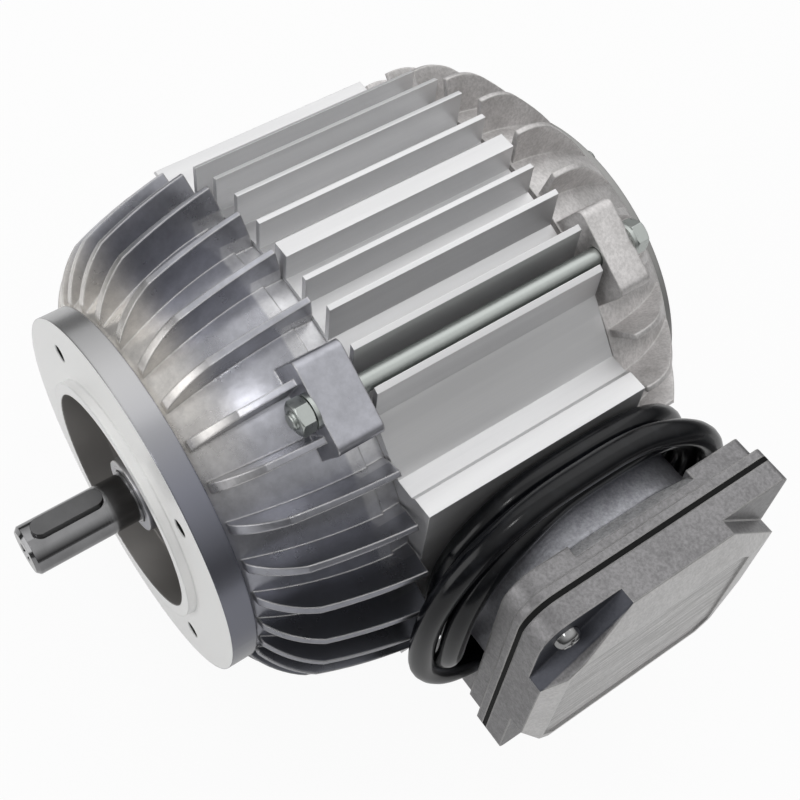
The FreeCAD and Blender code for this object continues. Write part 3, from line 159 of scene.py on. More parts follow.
class CableSettings(bpy.types.PropertyGroup):
    """The motor's cable and the form it is wound on"""

    length: length_setting("Length", "Whole length from the gland to its end", 0.820)
    diameter: length_setting("Diameter", "Across the sheath", 0.007)
    centre: length_setting("Coil centre", "Middle of the turns along the shaft", 0.091)
    half_along: length_setting("Half along", "Turns' half size along the shaft", 0.039)
    half_up: length_setting("Half up", "Turns' half size upwards", 0.0375)
    corner: length_setting("Corner", "Radius of the turns' corners", 0.030)
    core_radius: length_setting("Core radius", "Radius of one core", 0.0009)
    sheath: colour_setting("Sheath", "Black sheath", (0.003, 0.0034, 0.0045))


class DoorMotorSettings(bpy.types.PropertyGroup):
    """All settings of the door motor"""

    studio: PointerProperty(type=StudioSettings)
    metal: PointerProperty(type=MetalSettings)
    fastener: PointerProperty(type=FastenerSettings)
    cable: PointerProperty(type=CableSettings)


def settings():
    """The scene's own settings."""
    return bpy.context.scene.door_motor


def add_object(name, data):
    """A new object in the scene."""
    thing = bpy.data.objects.new(name, data)
    bpy.context.scene.collection.objects.link(thing)
    return thing


class Value:
    """A number that changes over a surface. Arithmetic on it adds Math nodes."""

    def __init__(self, nodes, socket):
        self.nodes = nodes
        self.socket = socket

    def math(self, operation, *others):
        """What a Math node makes of this value and the others."""
        inputs = dict(enumerate((self,) + others))
        return self.nodes.node("ShaderNodeMath", inputs, operation=operation)

    def __add__(self, other):
        return self.math("ADD", other)

    def __sub__(self, other):
        return self.math("SUBTRACT", other)

    def __rsub__(self, other):
        return (self * -1) + other

    def __mul__(self, other):
        return self.math("MULTIPLY", other)

    def __truediv__(self, other):
        return self.math("DIVIDE", other)

    def __pow__(self, other):
        return self.math("POWER", other)

    __radd__ = __add__
    __rmul__ = __mul__

    def past(self, low, high):
        """0 below low, 1 above high and a smooth step between them."""
        inputs = {"Value": self, "From Min": low, "From Max": high}
        return self.nodes.node("ShaderNodeMapRange", inputs, interpolation_type="SMOOTHSTEP")

    def short_of(self, low, high):
        """1 below low, 0 above high and a smooth step between them."""
        return 1 - self.past(low, high)

    def onto(self, low, high):
        """The range from 0 to 1 carried onto the range from low to high."""
        return self * (high - low) + low

    def wave(self, pitch):
        """A sine wave from -1 to 1 that repeats at the pitch given."""
        return (self * (FULL_TURN / pitch)).math("SINE")


class Nodes:
    """A node tree and the ways to add nodes to it."""

    def __init__(self, tree):
        self.tree = tree

    def node(self, kind, inputs=None, out=0, **set_up):
        """Add a node, set it up, feed its sockets and give back one of its outputs."""
        made = self.tree.nodes.new(kind)
        for name, value in set_up.items():
            setattr(made, name, value)
        for name, value in (inputs or {}).items():
            self.feed(made.inputs[name], value)
        return Value(self, made.outputs[out])

    def feed(self, socket, value):
        """Link a value to a socket, or set the socket's own number or colour."""
        if isinstance(value, Value):
            self.tree.links.new(value.socket, socket)
        elif socket.type == "RGBA" and len(value) == 3:
            socket.default_value = (*value, 1.0)
        else:
            socket.default_value = value

    def split(self, vector):
        """The X, Y and Z of a vector."""
        parts = self.node("ShaderNodeSeparateXYZ", {0: vector}).socket.node
        return [Value(self, socket) for socket in parts.outputs]

    def dot(self, first, second):
        """How far two directions agree: 1 for the same one, 0 for a right angle."""
        return self.node("ShaderNodeVectorMath", {0: first, 1: second}, out="Value",
                         operation="DOT_PRODUCT")

    def white_share(self, seen, mirrored):
        """Share of plain white for the camera's rays, and for those that metal and glass show."""
        camera, glossy, through = (
            self.node("ShaderNodeLightPath", out=f"Is {kind} Ray")
            for kind in ("Camera", "Glossy", "Transmission"))
        return camera * seen + (glossy + through) * mirrored


class Finish(Nodes):
    """A material: its nodes and the surface that they feed."""

    def __init__(self, name):
        self.material = bpy.data.materials.new(name)
        self.material.use_nodes = True
        super().__init__(self.material.node_tree)
        self.shader = self.tree.nodes["Principled BSDF"]

    def point(self):
        """The point in Object coordinates, in metres."""
        return self.node("ShaderNodeTexCoord", out="Object")

    def direction(self):
        """The face's own direction."""
        return self.node("ShaderNodeNewGeometry", out="True Normal")

    def axes(self):
        """X, Y and Z of the point."""
        return self.split(self.point())

    def facing(self):
        """X, Y and Z of the face's own direction."""
        return self.split(self.direction())

    def noise(self, size, detail=3.0, roughness=0.55, stretch=(1, 1, 1), distortion=0.0):
        """Cloudy noise with spots of about the size given, in metres."""
        scale = tuple(1 / (size * one) for one in stretch)
        scaled = self.node("ShaderNodeMapping", {"Vector": self.point(), "Scale": scale})
        return self.node("ShaderNodeTexNoise", {
            "Vector": scaled, "Scale": 1.0, "Detail": detail, "Roughness": roughness,
            "Distortion": distortion})

    def mix(self, factor, first, second):
        """A colour between two colours."""
        return self.node("ShaderNodeMix", {0: factor, 6: first, 7: second}, out=2,
                         data_type="RGBA")

    def rounded(self, radius):
        """The surface's direction with its sharp edges rounded."""
        return self.node("ShaderNodeBevel", {"Radius": radius}, samples=6)

    def bump(self, height, distance, normal=None):
        """The surface's direction, tilted by a height of the distance given, in metres."""
        inputs = {"Height": height, "Distance": distance, "Strength": 1.0}
        if normal is not None:
            inputs["Normal"] = normal
        return self.node("ShaderNodeBump", inputs)

    def edges(self, rounded):
        """1 on sharp edges, 0 on flat faces: how far the rounded direction turns away."""
        return (1 - self.dot(self.direction(), rounded)).past(0.01, 0.12)

    def surface(self, **inputs):
        """Feed the shader. A name's words are joined by underscores."""
        for name, value in inputs.items():
            self.feed(self.shader.inputs[name.replace("_", " ").title().replace("Ior", "IOR")],
                      value)
        return self.material


def from_axis(finish):
    """Distance of the point from the shaft's axis, in metres."""
    x, _, z = finish.axes()
    return (x * x + z * z) ** 0.5


def span(low, high):
    """Where a change of finish starts and ends, given in millimetres."""
    return low * MM, high * MM


# Front shield, along the shaft from the flange's face
HOLE_MOUTH = span(0.2, 0.4)
FLANGE_BACK = span(7.28, 7.34)
RECESS_FLOOR = span(9, 11)
ROOT_END = span(12, 24)
COLLAR_START = span(38, 39)
# Front shield, outwards from the shaft
NOSE_EDGE = span(10.5, 12)
RECESS_EDGE = span(31.64, 31.72)
FACE_START = span(31.72, 31.80)
HOLES_START = span(36, 36.4)
HOLES_END = span(50, 50.4)
RIM_START = span(52.36, 52.44)
COLLAR_EDGE = span(66.5, 67)
# Front shield, X less Z: from its lit side to its shaded side, for its painted light, painted shade
# and the rim's painted reflection
RIM_REFLECTION_START = span(-60, -10)
LIT_ROOT_END = span(-45, 10)
SHADE_START = span(-20, 60)
RIM_REFLECTION_END = span(45, 75)
# Terminal box, outwards from the shaft
NECK_SHADE = span(72, 86)
NECK_END = span(86.5, 86.7)
TRAY_START = span(89.9, 90.1)
POCKET_FLOOR_START = span(101, 101.5)
POCKET_FLOOR_END = span(102.9, 103)
POCKET_WALL_START = span(102.5, 102.7)
POCKET_WALL_END = span(107, 107.6)
SLOPE_START = span(107, 107.1)
CROWN_START = span(108.8, 108.9)
CROWN_END = span(109.4, 109.5)
# Terminal box, upwards, and the lid's middle along the shaft
GLAND_SIDE_END = span(-45, -44)
LID_MIDDLE = 91.75 * MM
# Blend between the lid's quarters with and without a screw, in square metres
LID_QUARTER = 100 * MM * MM
# Pitches of the flange's turned rings, the earth core's stripes and the stacked sheets
RING_PITCH = 0.35 * MM
STRIPE_PITCH = 0.9 * MM
SHEET_PITCH = 0.5 * MM


def polished_casting():
    """Front shield: polished die casting with a painted lit zone near the flange, painted shade on
    its lower side and rib sides, a bright turned flange, a smooth rim with a painted dark
    reflection and painted shade in the bolt holes."""
    tones = settings().metal
    lilac_grey = (0.48, 0.485, 0.53)
    collar_grey = (0.74, 0.74, 0.76)
    shaded_grey = (0.16, 0.165, 0.20)
    rib_shade = (0.07, 0.075, 0.09)
    soot = (0.12, 0.12, 0.125)
    worn_edge = (0.80, 0.79, 0.77)
    recess_grey = (0.27, 0.26, 0.25)
    rim_painted_reflection = (0.20, 0.205, 0.24)
    hole_painted_shade = (0.02, 0.02, 0.02)
    finish = Finish("polished_casting")
    x, y, z = finish.axes()
    aslant = x - z
    radius = from_axis(finish)
    across, _, up = finish.facing()
    # Painted shade: the ribs' sides are darkened, more on the shaded side
    painted_rib_side_shade = ((up * x - across * z) / radius).math("ABSOLUTE").past(0.55, 0.85)
    plate = y.short_of(*FLANGE_BACK) * radius.past(*FACE_START)
    rim = plate * radius.past(*RIM_START)
    face = plate * (1 - rim)
    # Painted shade: the insides of the bolt holes are made nearly black
    hole = plate * y.past(*HOLE_MOUTH) * radius.past(*HOLES_START) * radius.short_of(*HOLES_END)
    sunk = radius.short_of(*RECESS_EDGE) * y.short_of(*RECESS_FLOOR) * radius.past(*NOSE_EDGE)
    seat = y.past(*COLLAR_START) * radius.short_of(*COLLAR_EDGE)
    # Painted shade: the shell and its rib sides darken towards the shaded side
    painted_shade_side = aslant.past(*SHADE_START)
    # Painted reflection: a dark band across the rim's middle stands in for a dark room mirrored in
    # it
    stained = aslant.past(*RIM_REFLECTION_START) * aslant.short_of(*RIM_REFLECTION_END)
    # Painted light: near the flange, on the lit side, the shell takes the paler polished tone and
    # less metal
    root = y.short_of(*ROOT_END) * aslant.short_of(*LIT_ROOT_END)
    clouds = finish.noise(11 * MM, 4.0, 0.6)
    stains = finish.noise(2.2 * MM, 5.0, 0.7)
    waves = finish.noise(5 * MM, 2.0, 0.5)
    soft = finish.rounded(0.7 * MM)
    edges = finish.edges(soft)
    hue = finish.mix(root, lilac_grey, tones.polished)
    hue = finish.mix(seat, hue, collar_grey)
    hue = finish.mix(painted_shade_side * 0.55, hue, shaded_grey)
    hue = finish.mix(painted_rib_side_shade * painted_shade_side.onto(0.10, 0.75), hue, rib_shade)
    shade = clouds.past(0.28, 0.72).onto(0.72, 1.0) * stains.past(0.30, 0.70).onto(0.82, 1.0)
    cast = finish.mix(shade, soot, hue)
    cast = finish.mix(edges * 0.55, cast, worn_edge)
    cast = finish.mix(sunk, cast, recess_grey)
    cast = finish.mix(face, cast, tones.machined)
    # Painted reflection: the rim takes the dark band worked out above
    cast = finish.mix(rim, cast, finish.mix(stained, tones.rim, rim_painted_reflection))
    cast = finish.mix(hole, cast, hole_painted_shade)
    rings = radius.wave(RING_PITCH)
    height = finish.node("ShaderNodeMix", {0: plate, 2: waves, 3: rings}, data_type="FLOAT")
    rough = (clouds.onto(0.23, 0.34) + sunk * 0.2) * (1 - plate) + face * 0.32 + rim * 0.24
    return finish.surface(
        base_color=cast, metallic=0.85 - face * 0.65 - root * (1 - plate) * 0.2, roughness=rough,
        normal=finish.bump(height, plate.onto(0.07 * MM, 0.002 * MM), soft))


def extruded_aluminium():
    """Housing: satin extrusion with fine lines along its length."""
    stain = (0.30, 0.30, 0.31)
    worn_edge = (0.88, 0.88, 0.87)
    finish = Finish("extruded_aluminium")
    lines = finish.noise(0.35 * MM, 3.0, 0.6, stretch=(1, 250, 1))
    broad = finish.noise(5 * MM, 2.0, 0.5, stretch=(1, 14, 1))
    soft = finish.rounded(0.25 * MM)
    edges = finish.edges(soft)
    shade = lines.onto(0.88, 1.0) * broad.past(0.3, 0.7).onto(0.88, 1.0)
    tone = finish.mix(shade, stain, settings().metal.extruded)
    return finish.surface(
        base_color=finish.mix(edges * 0.6, tone, worn_edge), metallic=0.85,
        roughness=lines.onto(0.40, 0.54), normal=finish.bump(lines, 0.012 * MM, soft))


def rough_casting():
    """Rear shield: matt die casting with a fine, slightly stained skin."""
    stain = (0.14, 0.135, 0.125)
    worn_edge = (0.80, 0.78, 0.76)
    finish = Finish("rough_casting")
    clouds = finish.noise(9 * MM, 4.0, 0.6)
    grain = finish.noise(0.9 * MM, 4.0, 0.65)
    soft = finish.rounded(0.8 * MM)
    edges = finish.edges(soft)
    shade = clouds.past(0.28, 0.72).onto(0.74, 1.0) * grain.past(0.30, 0.70).onto(0.74, 1.04)
    tone = finish.mix(shade, stain, settings().metal.cast)
    height = grain * 0.5 + clouds * 0.5
    return finish.surface(
        base_color=finish.mix(edges * 0.5, tone, worn_edge), metallic=0.75,
        roughness=grain.onto(0.40, 0.56), normal=finish.bump(height, 0.14 * MM, soft))


def mottled_casting():
    """Terminal box: tumbled casting, mottled all over, with a streaked crown, lighter slopes,
    painted shade in the screw pockets, and a darker neck with painted shade under the cable and
    painted light on the flare's shaded faces."""
    tones = settings().metal
    soot = (0.03, 0.03, 0.03)
    streak_dark = (0.36, 0.355, 0.35)
    streak_light = (0.76, 0.75, 0.745)
    slope_dark = (0.40, 0.395, 0.39)
    slope_light = (0.74, 0.73, 0.725)
    worn_edge = (0.70, 0.69, 0.67)
    pocket_shade = (0.05, 0.054, 0.07)
    neck_shade = (0.10, 0.105, 0.14)
    neck_soot = (0.05, 0.05, 0.06)
    under_painted_light = (0.92, 0.92, 0.93)
    finish = Finish("mottled_casting")
    x, y, z = finish.axes()
    across, along, up = finish.facing()
    grain = finish.noise(0.8 * MM, 4.0, 0.65)
    blotches = finish.noise(2.4 * MM, 4.0, 0.65, distortion=0.5)
    clouds = finish.noise(14 * MM)
    streaks = finish.noise(0.5 * MM, roughness=0.6, stretch=(1, 40, 1))
    soft = finish.rounded(1.0 * MM)
    edges = finish.edges(soft)
    level = across.past(0.90, 0.97)
    flat = across.past(0.990, 0.998)
    crown = flat * x.past(*CROWN_START) * x.short_of(*CROWN_END)
    slope = across.past(0.2, 0.3) * x.past(*SLOPE_START) * (1 - crown)
    corner = (along * up).math("ABSOLUTE").past(0.30, 0.40)
    pocket_wall = corner * x.past(*POCKET_WALL_START) * x.short_of(*POCKET_WALL_END)
    pocket_floor = level * x.past(*POCKET_FLOOR_START) * x.short_of(*POCKET_FLOOR_END)
    with_screw = ((y - LID_MIDDLE) * z).short_of(-LID_QUARTER, LID_QUARTER)
    # Painted shade: the pockets that hold a screw are darkened
    pocket = pocket_floor.math("MAXIMUM", pocket_wall) * with_screw
    under = across.short_of(-0.6, -0.3) * x.short_of(*TRAY_START)
    scoop = x.short_of(*NECK_END).math("MAXIMUM", under) * z.past(*GLAND_SIDE_END)
    mottle = grain.past(0.30, 0.70).onto(0.72, 1.08) * blotches.past(0.32, 0.68).onto(0.80, 1.06)
    plain = mottle * clouds.past(0.3, 0.7).onto(0.90, 1.04)
    drawn = finish.mix(streaks.past(0.30, 0.70) * mottle, streak_dark, streak_light)
    slope_tone = finish.mix(plain, slope_dark, slope_light)
    # Painted shade: the neck darkens inwards, under the cable's turns
    neck = finish.mix(x.past(*NECK_SHADE), neck_shade, tones.scoop)
    # Painted light: the flare's faces turned towards the shaft, which lie in shade, are made almost
    # white
    neck = finish.mix(under, neck, under_painted_light)
    tone = finish.mix(plain, soot, tones.box)
    tone = finish.mix(crown, tone, drawn)
    # The lid's slopes get a lighter, mottled tone
    tone = finish.mix(slope * 0.9, tone, slope_tone)
    tone = finish.mix(edges * 0.5, tone, worn_edge)
    tone = finish.mix(pocket * 0.9, tone, pocket_shade)
    tone = finish.mix(scoop, tone, finish.mix(plain, neck_soot, neck))
    return finish.surface(
        base_color=tone, metallic=0.6, roughness=grain.onto(0.46, 0.34),
        normal=finish.bump(grain * 0.5 + blotches * 0.5, 0.10 * MM, soft))


def plated(name, tone, rough):
    """Fasteners: plated steel with a faint spangle."""
    finish = Finish(name)
    spangle = finish.noise(1.2 * MM, 3.0, 0.6)
    darker = tuple(0.35 * part for part in tone)
    soft = finish.rounded(0.2 * MM)
    return finish.surface(
        base_color=finish.mix(spangle.onto(0.75, 1.0), darker, tone), metallic=1.0,
        roughness=spangle.onto(rough - 0.08, rough + 0.08),
        normal=finish.bump(spangle, 0.01 * MM, soft))


def ground_steel(name, tone, rough):
    """Turned and ground steel with fine rings round the shaft."""
    finish = Finish(name)
    rings = finish.noise(0.25 * MM, 2.0, 0.5, stretch=(60, 1, 60))
    stains = finish.noise(6 * MM)
    soft = finish.rounded(0.2 * MM)
    shade = stains.past(0.3, 0.7).onto(0.8, 1.0) * rings.onto(0.9, 1.0)
    oil = (0.05, 0.05, 0.05)
    return finish.surface(
        base_color=finish.mix(shade, oil, tone), metallic=1.0,
        roughness=rings.onto(rough - 0.06, rough + 0.06),
        normal=finish.bump(rings, 0.004 * MM, soft))


def moulded(name, tone, rough, shine=0.5):
    """Plastic or rubber with a fine moulded grain."""
    finish = Finish(name)
    grain = finish.noise(0.4 * MM, 2.0)
    soft = finish.rounded(0.3 * MM)
    lighter = tuple(1.8 * part + 0.002 for part in tone)
    return finish.surface(
        base_color=finish.mix(grain.past(0.3, 0.7), tone, lighter), specular_ior_level=shine,
        roughness=grain.onto(rough - 0.06, rough + 0.06),
        normal=finish.bump(grain, 0.02 * MM, soft))


def painted_sheet():
    """Rear cover: pressed sheet with a satin coat."""
    finish = Finish("painted_sheet")
    peel = finish.noise(1.1 * MM, 2.0)
    dust = finish.noise(12 * MM, 4.0)
    dusty = (0.30, 0.30, 0.295)
    tone = finish.mix(dust.past(0.2, 0.8), dusty, settings().metal.sheet)
    soft = finish.rounded(0.5 * MM)
    return finish.surface(
        base_color=tone, metallic=0.6, roughness=peel.onto(0.36, 0.46),
        normal=finish.bump(peel, 0.02 * MM, soft))


def cable_sheath():
    """Cable: glossy black sheath with faint marks along it."""
    finish = Finish("cable_sheath")
    scuffs = finish.noise(2.5 * MM, 4.0, 0.6)
    grain = finish.noise(0.5 * MM, 2.0)
    tone = settings().cable.sheath
    paler = tuple(2.0 * part + 0.002 for part in tone)
    return finish.surface(
        base_color=finish.mix(scuffs.past(0.45, 0.75), tone, paler), specular_ior_level=0.32,
        roughness=scuffs.onto(0.15, 0.22), normal=finish.bump(grain, 0.002 * MM))


def earth_insulation():
    """Earth core: green insulation with yellow stripes along it."""
    finish = Finish("earth_insulation")
    x, _, _ = finish.axes()
    green = (0.03, 0.22, 0.05)
    yellow = (0.75, 0.58, 0.04)
    stripe = x.wave(STRIPE_PITCH).past(-0.1, 0.1)
    grain = finish.noise(0.3 * MM, 2.0)
    return finish.surface(base_color=finish.mix(stripe, green, yellow),
                          roughness=grain.onto(0.34, 0.46))


def laminations():
    """Cores: thin steel sheets stacked along the shaft."""
    finish = Finish("laminations")
    _, y, _ = finish.axes()
    joint = (0.10, 0.10, 0.11)
    sheet = (0.34, 0.34, 0.36)
    sheets = y.wave(SHEET_PITCH).onto(0.45, 0.55)
    tone = finish.mix(sheets, joint, sheet)
    return finish.surface(base_color=tone, metallic=1.0, roughness=sheets.onto(0.35, 0.55),
                          normal=finish.bump(sheets, 0.03 * MM))


def varnished_copper():
    """Windings: varnished copper wires."""
    finish = Finish("varnished_copper")
    wires = finish.noise(0.7 * MM, 2.0, 0.5, stretch=(1, 30, 1))
    varnish = (0.20, 0.06, 0.02)
    copper = (0.62, 0.26, 0.10)
    tone = finish.mix(wires, varnish, copper)
    return finish.surface(base_color=tone, metallic=0.7, roughness=wires.onto(0.25, 0.45),
                          normal=finish.bump(wires, 0.1 * MM))


def dress(finish, *nodes):
    """Give CAD nodes a finish."""
    for node in nodes:
        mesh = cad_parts[node].data
        mesh.materials.clear()
        mesh.materials.append(finish)


class DOORMOTOR_OT_dress_shields(bpy.types.Operator):
    """Give the two cast shields their finishes"""

    bl_idname = "door_motor.dress_shields"
    bl_label = "Dress Shields"

    def execute(self, context):
        dress(polished_casting(), "drive_end_shield")
        dress(rough_casting(), "brake_end_shield")
        dress(painted_sheet(), "rear_cover")
        return {"FINISHED"}


class DOORMOTOR_OT_dress_housing(bpy.types.Operator):
    """Give the extruded housing its finish"""

    bl_idname = "door_motor.dress_housing"
    bl_label = "Dress Housing"

    def execute(self, context):
        dress(extruded_aluminium(), "stator_housing")
        return {"FINISHED"}


class DOORMOTOR_OT_dress_box(bpy.types.Operator):
    """Give the terminal box, its lid, seals and inner pieces their finishes"""

    bl_idname = "door_motor.dress_box"
    bl_label = "Dress Terminal Box"

    def execute(self, context):
        dress(mottled_casting(), "terminal_box", "terminal_lid")
        dress(moulded("seal_rubber", (0.004, 0.004, 0.004), 0.7, shine=0.15),
              "terminal_base_gasket", "terminal_lid_gasket")
        dress(moulded("gland_plastic", (0.016, 0.016, 0.017), 0.42), "cable_gland")
        dress(moulded("board_plastic", (0.05, 0.035, 0.02), 0.5),
              "terminal_board", "brake_rectifier")
        dress(ground_steel("terminal_brass", (0.75, 0.55, 0.24), 0.3),
              "terminal_studs", "terminal_nuts", "earth_screw")
        return {"FINISHED"}


class DOORMOTOR_OT_dress_fasteners(bpy.types.Operator):
    """Give the washers and the inner screws their plating"""

    bl_idname = "door_motor.dress_fasteners"
    bl_label = "Dress Fasteners"

    def execute(self, context):
        dress(plated("zinc_plate", settings().metal.zinc, 0.34), "tie_rod_washers",
              "brake_screws", "box_screws", "brake_sleeves")
        return {"FINISHED"}


class DOORMOTOR_OT_dress_shaft(bpy.types.Operator):
    """Give the shaft, rotor, bearings and brake their finishes"""

    bl_idname = "door_motor.dress_shaft"
    bl_label = "Dress Shaft And Inner Pieces"

    def execute(self, context):
        tones = settings().metal
        dress(ground_steel("ground_shaft", tones.shaft, 0.11), "rotor_shaft")
        dress(ground_steel("drawn_key", tones.key, 0.36), "shaft_key")
        dress(ground_steel("bearing_steel", (0.66, 0.66, 0.68), 0.16),
              "front_bearing_outer_ring", "front_bearing_inner_ring", "front_bearing_balls",
              "rear_bearing_outer_ring", "rear_bearing_inner_ring", "rear_bearing_balls",
              "front_bearing_cage", "rear_bearing_cage")
        dress(ground_steel("brake_steel", (0.42, 0.42, 0.43), 0.35),
              "brake_hub", "brake_disc", "brake_armature", "brake_magnet",
              "bearing_wave_spring", "rear_bearing_circlip", "brake_hub_circlip",
              "brake_springs")
        dress(ground_steel("cast_cage", (0.72, 0.72, 0.73), 0.4), "rotor_cage")
        dress(moulded("friction_lining", (0.055, 0.045, 0.038), 0.8), "brake_linings")
        dress(laminations(), "stator_core", "rotor_core")
        dress(varnished_copper(), "stator_winding", "brake_coil")
        return {"FINISHED"}


AROUND = 48
SHARP_EDGE = math.radians(32)
ANGLE = np.linspace(0, FULL_TURN, AROUND, endpoint=False)
ROD_ANGLES = np.radians((60, 180, 300))
COVER_SCREW_ANGLES = np.radians((90, 210, 330))
# Rows give the directions of the axis, of angle 0 and of a quarter turn
AXIS_X = np.eye(3)
AXIS_Y = np.array([(0, 1, 0), (1, 0, 0), (0, 0, 1)])


def lathe(radius, along, axis, centre):
    """Rings of points about an axis: corner (i, j) lies radius[i, j] from the axis, at the angle
    of j, and along[i, j] past the centre."""
    parts = np.broadcast_arrays(along, radius * np.cos(ANGLE), radius * np.sin(ANGLE))
    return np.stack(parts, axis=-1) @ axis + np.asarray(centre)


def copies(shape, axis, places):
    """The turned shape at each of the places, all with the first finish."""
    return [(lathe(*shape, axis, place), 0) for place in places]


def closed_skin(rings):
    """Corners and faces over rings of points: each ring is joined to the next one, and the first
    and last ring are closed on a corner at their middle."""
    count = len(rings)
    corners = np.concatenate([rings.reshape(-1, 3), rings[[0, -1]].mean(axis=1)])
    here = np.arange(AROUND)
    there = np.roll(here, -1)
    start = np.arange(count - 1)[:, None] * AROUND
    quads = np.stack([start + here, start + there, start + AROUND + there, start + AROUND + here],
                     axis=-1).reshape(-1, 4)
    last = (count - 1) * AROUND
    first_fan = np.stack([np.full(AROUND, count * AROUND), there, here], axis=-1)
    last_fan = np.stack([np.full(AROUND, count * AROUND + 1), last + here, last + there], axis=-1)
    return corners, quads, np.concatenate([first_fan, last_fan])


def make_piece(name, bodies, finishes, node):
    """One mesh of closed bodies, each given as (rings, number of its finish), in place of a CAD
    node on the fixed part of the motor."""
    corners, faces, paint = [], [], []
    start = 0
    for rings, finish in bodies:
        points, quads, fans = closed_skin(rings)
        corners.append(points)
        faces += (quads + start).tolist() + (fans + start).tolist()
        paint += [finish] * (len(quads) + len(fans))
        start += len(points)
    mesh = bpy.data.meshes.new(name)
    mesh.from_pydata(np.concatenate(corners).tolist(), [], faces)
    for finish in finishes:
        mesh.materials.append(finish)
    mesh.polygons.foreach_set("material_index", paint)
    work = bmesh.new()
    work.from_mesh(mesh)
    bmesh.ops.recalc_face_normals(work, faces=work.faces)
    work.to_mesh(mesh)
    work.free()
    mesh.shade_smooth()
    mesh.set_sharp_from_angle(angle=SHARP_EDGE)
    piece = add_object(name, mesh)
    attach(piece, "stator")
    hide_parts(node)


def hexagon(flats):
    """A hexagon's distance from its middle at each angle: half the width across its flats over
    the cosine of the angle from the nearest flat's middle."""
    sixth = FULL_TURN / 6
    return flats / 2 / np.cos((ANGLE + sixth / 2) % sixth - sixth / 2)


# Shares of a nut's width across flats: where its cones start, and past its corners
CONE_START = 0.475
PAST_CORNERS = 0.58
CONE_SLOPE = math.tan(math.radians(30))
# Share of a gland nut's height at which its round begins
ROUND_START = 0.4


def hexagon_nut(flats, height, bore):
    """Radius and height of a nut's rings: a hexagon cut by two flat cones, which take its corners
    off, with its hole closed."""
    cone = np.linspace(CONE_START * flats, PAST_CORNERS * flats, 8)
    rise = (cone - cone[0]) * CONE_SLOPE
    profile = np.concatenate([[bore], cone, cone[::-1], [bore]])
    along = np.concatenate([[0], rise, height - rise[::-1], [height]])
    return np.minimum(profile[:, None], hexagon(flats)), along[:, None]


def domed_nut(flats, height, bore):
    """Radius and height of a gland nut's rings: a hexagon whose upper part is cut by a quarter
    round that runs in to the cable's hole."""
    along = np.linspace(0, height, 18)
    share = np.clip((along / height - ROUND_START) / (1 - ROUND_START), 0, 1)
    cap = bore + (PAST_CORNERS * flats - bore) * np.sqrt(1 - share ** 2)
    profile = np.concatenate([[bore], np.maximum(cap, bore)])
    return (np.minimum(profile[:, None], hexagon(flats)),
            np.concatenate([[0], along])[:, None])


def threaded_rod(sizes, length):
    """Radius and height of a rod's rings. Near each end the radius falls by a triangle wave of
    the turns counted along and round the rod, and the last turn is cut to a cone."""
    end = np.linspace(0, sizes.thread_length, 64)
    along = np.concatenate([end, length - end[::-1]])[:, None]
    inwards = np.minimum(along, length - along)
    wave = np.abs(2 * ((along / sizes.thread_pitch + ANGLE / FULL_TURN) % 1) - 1)
    depth = sizes.thread_depth * np.clip((sizes.thread_length - inwards) / sizes.thread_pitch, 0, 1)
    cone = sizes.thread_pitch * 0.6 * (1 - np.clip(inwards / sizes.thread_pitch, 0, 1))
    return sizes.rod_radius - depth * wave - cone, along


# A cross recess, in shares of the head's radius and height
CROSS_HALF_WIDTH = 0.17
CROSS_SIDE = 0.06
CROSS_REACH = 0.64
CROSS_END = 0.08
CROSS_DEPTH = 0.55
LID_SHANK = 2 * MM
COVER_SHANK = 1.5 * MM


def pan_head_screw(head, rise, shank, length):
    """Radius and height of a screw's rings, from the top's middle outwards. The top falls as the
    root of 1 less the fourth power of the radius's share, and a cross is sunk in it."""
    share = np.linspace(0.03, 1, 26)[:, None]
    first = np.abs(share * np.cos(ANGLE))
    second = np.abs(share * np.sin(ANGLE))
    arm = np.clip((CROSS_HALF_WIDTH - np.minimum(first, second)) / CROSS_SIDE, 0, 1)
    arm = arm * np.clip((CROSS_REACH - np.maximum(first, second)) / CROSS_END, 0, 1)
    top = rise * np.sqrt(1 - share ** 4) * (1 - CROSS_DEPTH * arm)
    radius = np.concatenate([share * head, [[shank], [shank]]]) * np.ones(AROUND)
    along = np.concatenate([top, np.zeros((1, AROUND)), np.full((1, AROUND), -length)])
    return radius, along


def round_the_shaft(distance, angles, along):
    """Points at one distance from the shaft, at the angles given and at one place along it."""
    places = np.broadcast_arrays(distance * np.cos(angles), along, distance * np.sin(angles))
    return np.stack(places, axis=-1)


class DOORMOTOR_OT_make_rods(bpy.types.Operator):
    """Make the tie rods with threaded ends"""

    bl_idname = "door_motor.make_rods"
    bl_label = "Make Tie Rods"

    def execute(self, context):
        sizes = settings().fastener
        low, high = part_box("tie_rods")
        shape = threaded_rod(sizes, high[1] - low[1])
        places = round_the_shaft(sizes.rod_circle, ROD_ANGLES, low[1])
        make_piece("threaded_tie_rods", copies(shape, AXIS_Y, places),
                   [plated("rod_zinc", settings().metal.zinc, 0.36)], "tie_rods")
        return {"FINISHED"}


class DOORMOTOR_OT_make_nuts(bpy.types.Operator):
    """Make the nuts at both ends of the tie rods"""

    bl_idname = "door_motor.make_nuts"
    bl_label = "Make Rod Nuts"

    def execute(self, context):
        sizes = settings().fastener
        low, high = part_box("tie_rod_nuts")
        shape = hexagon_nut(sizes.nut_flats, sizes.nut_height, sizes.rod_radius)
        ends = (low[1], high[1] - sizes.nut_height)
        places = np.concatenate(
            [round_the_shaft(sizes.rod_circle, ROD_ANGLES, end) for end in ends])
        make_piece("chamfered_nuts", copies(shape, AXIS_Y, places),
                   [plated("nut_zinc", settings().metal.zinc, 0.30)], "tie_rod_nuts")
        return {"FINISHED"}


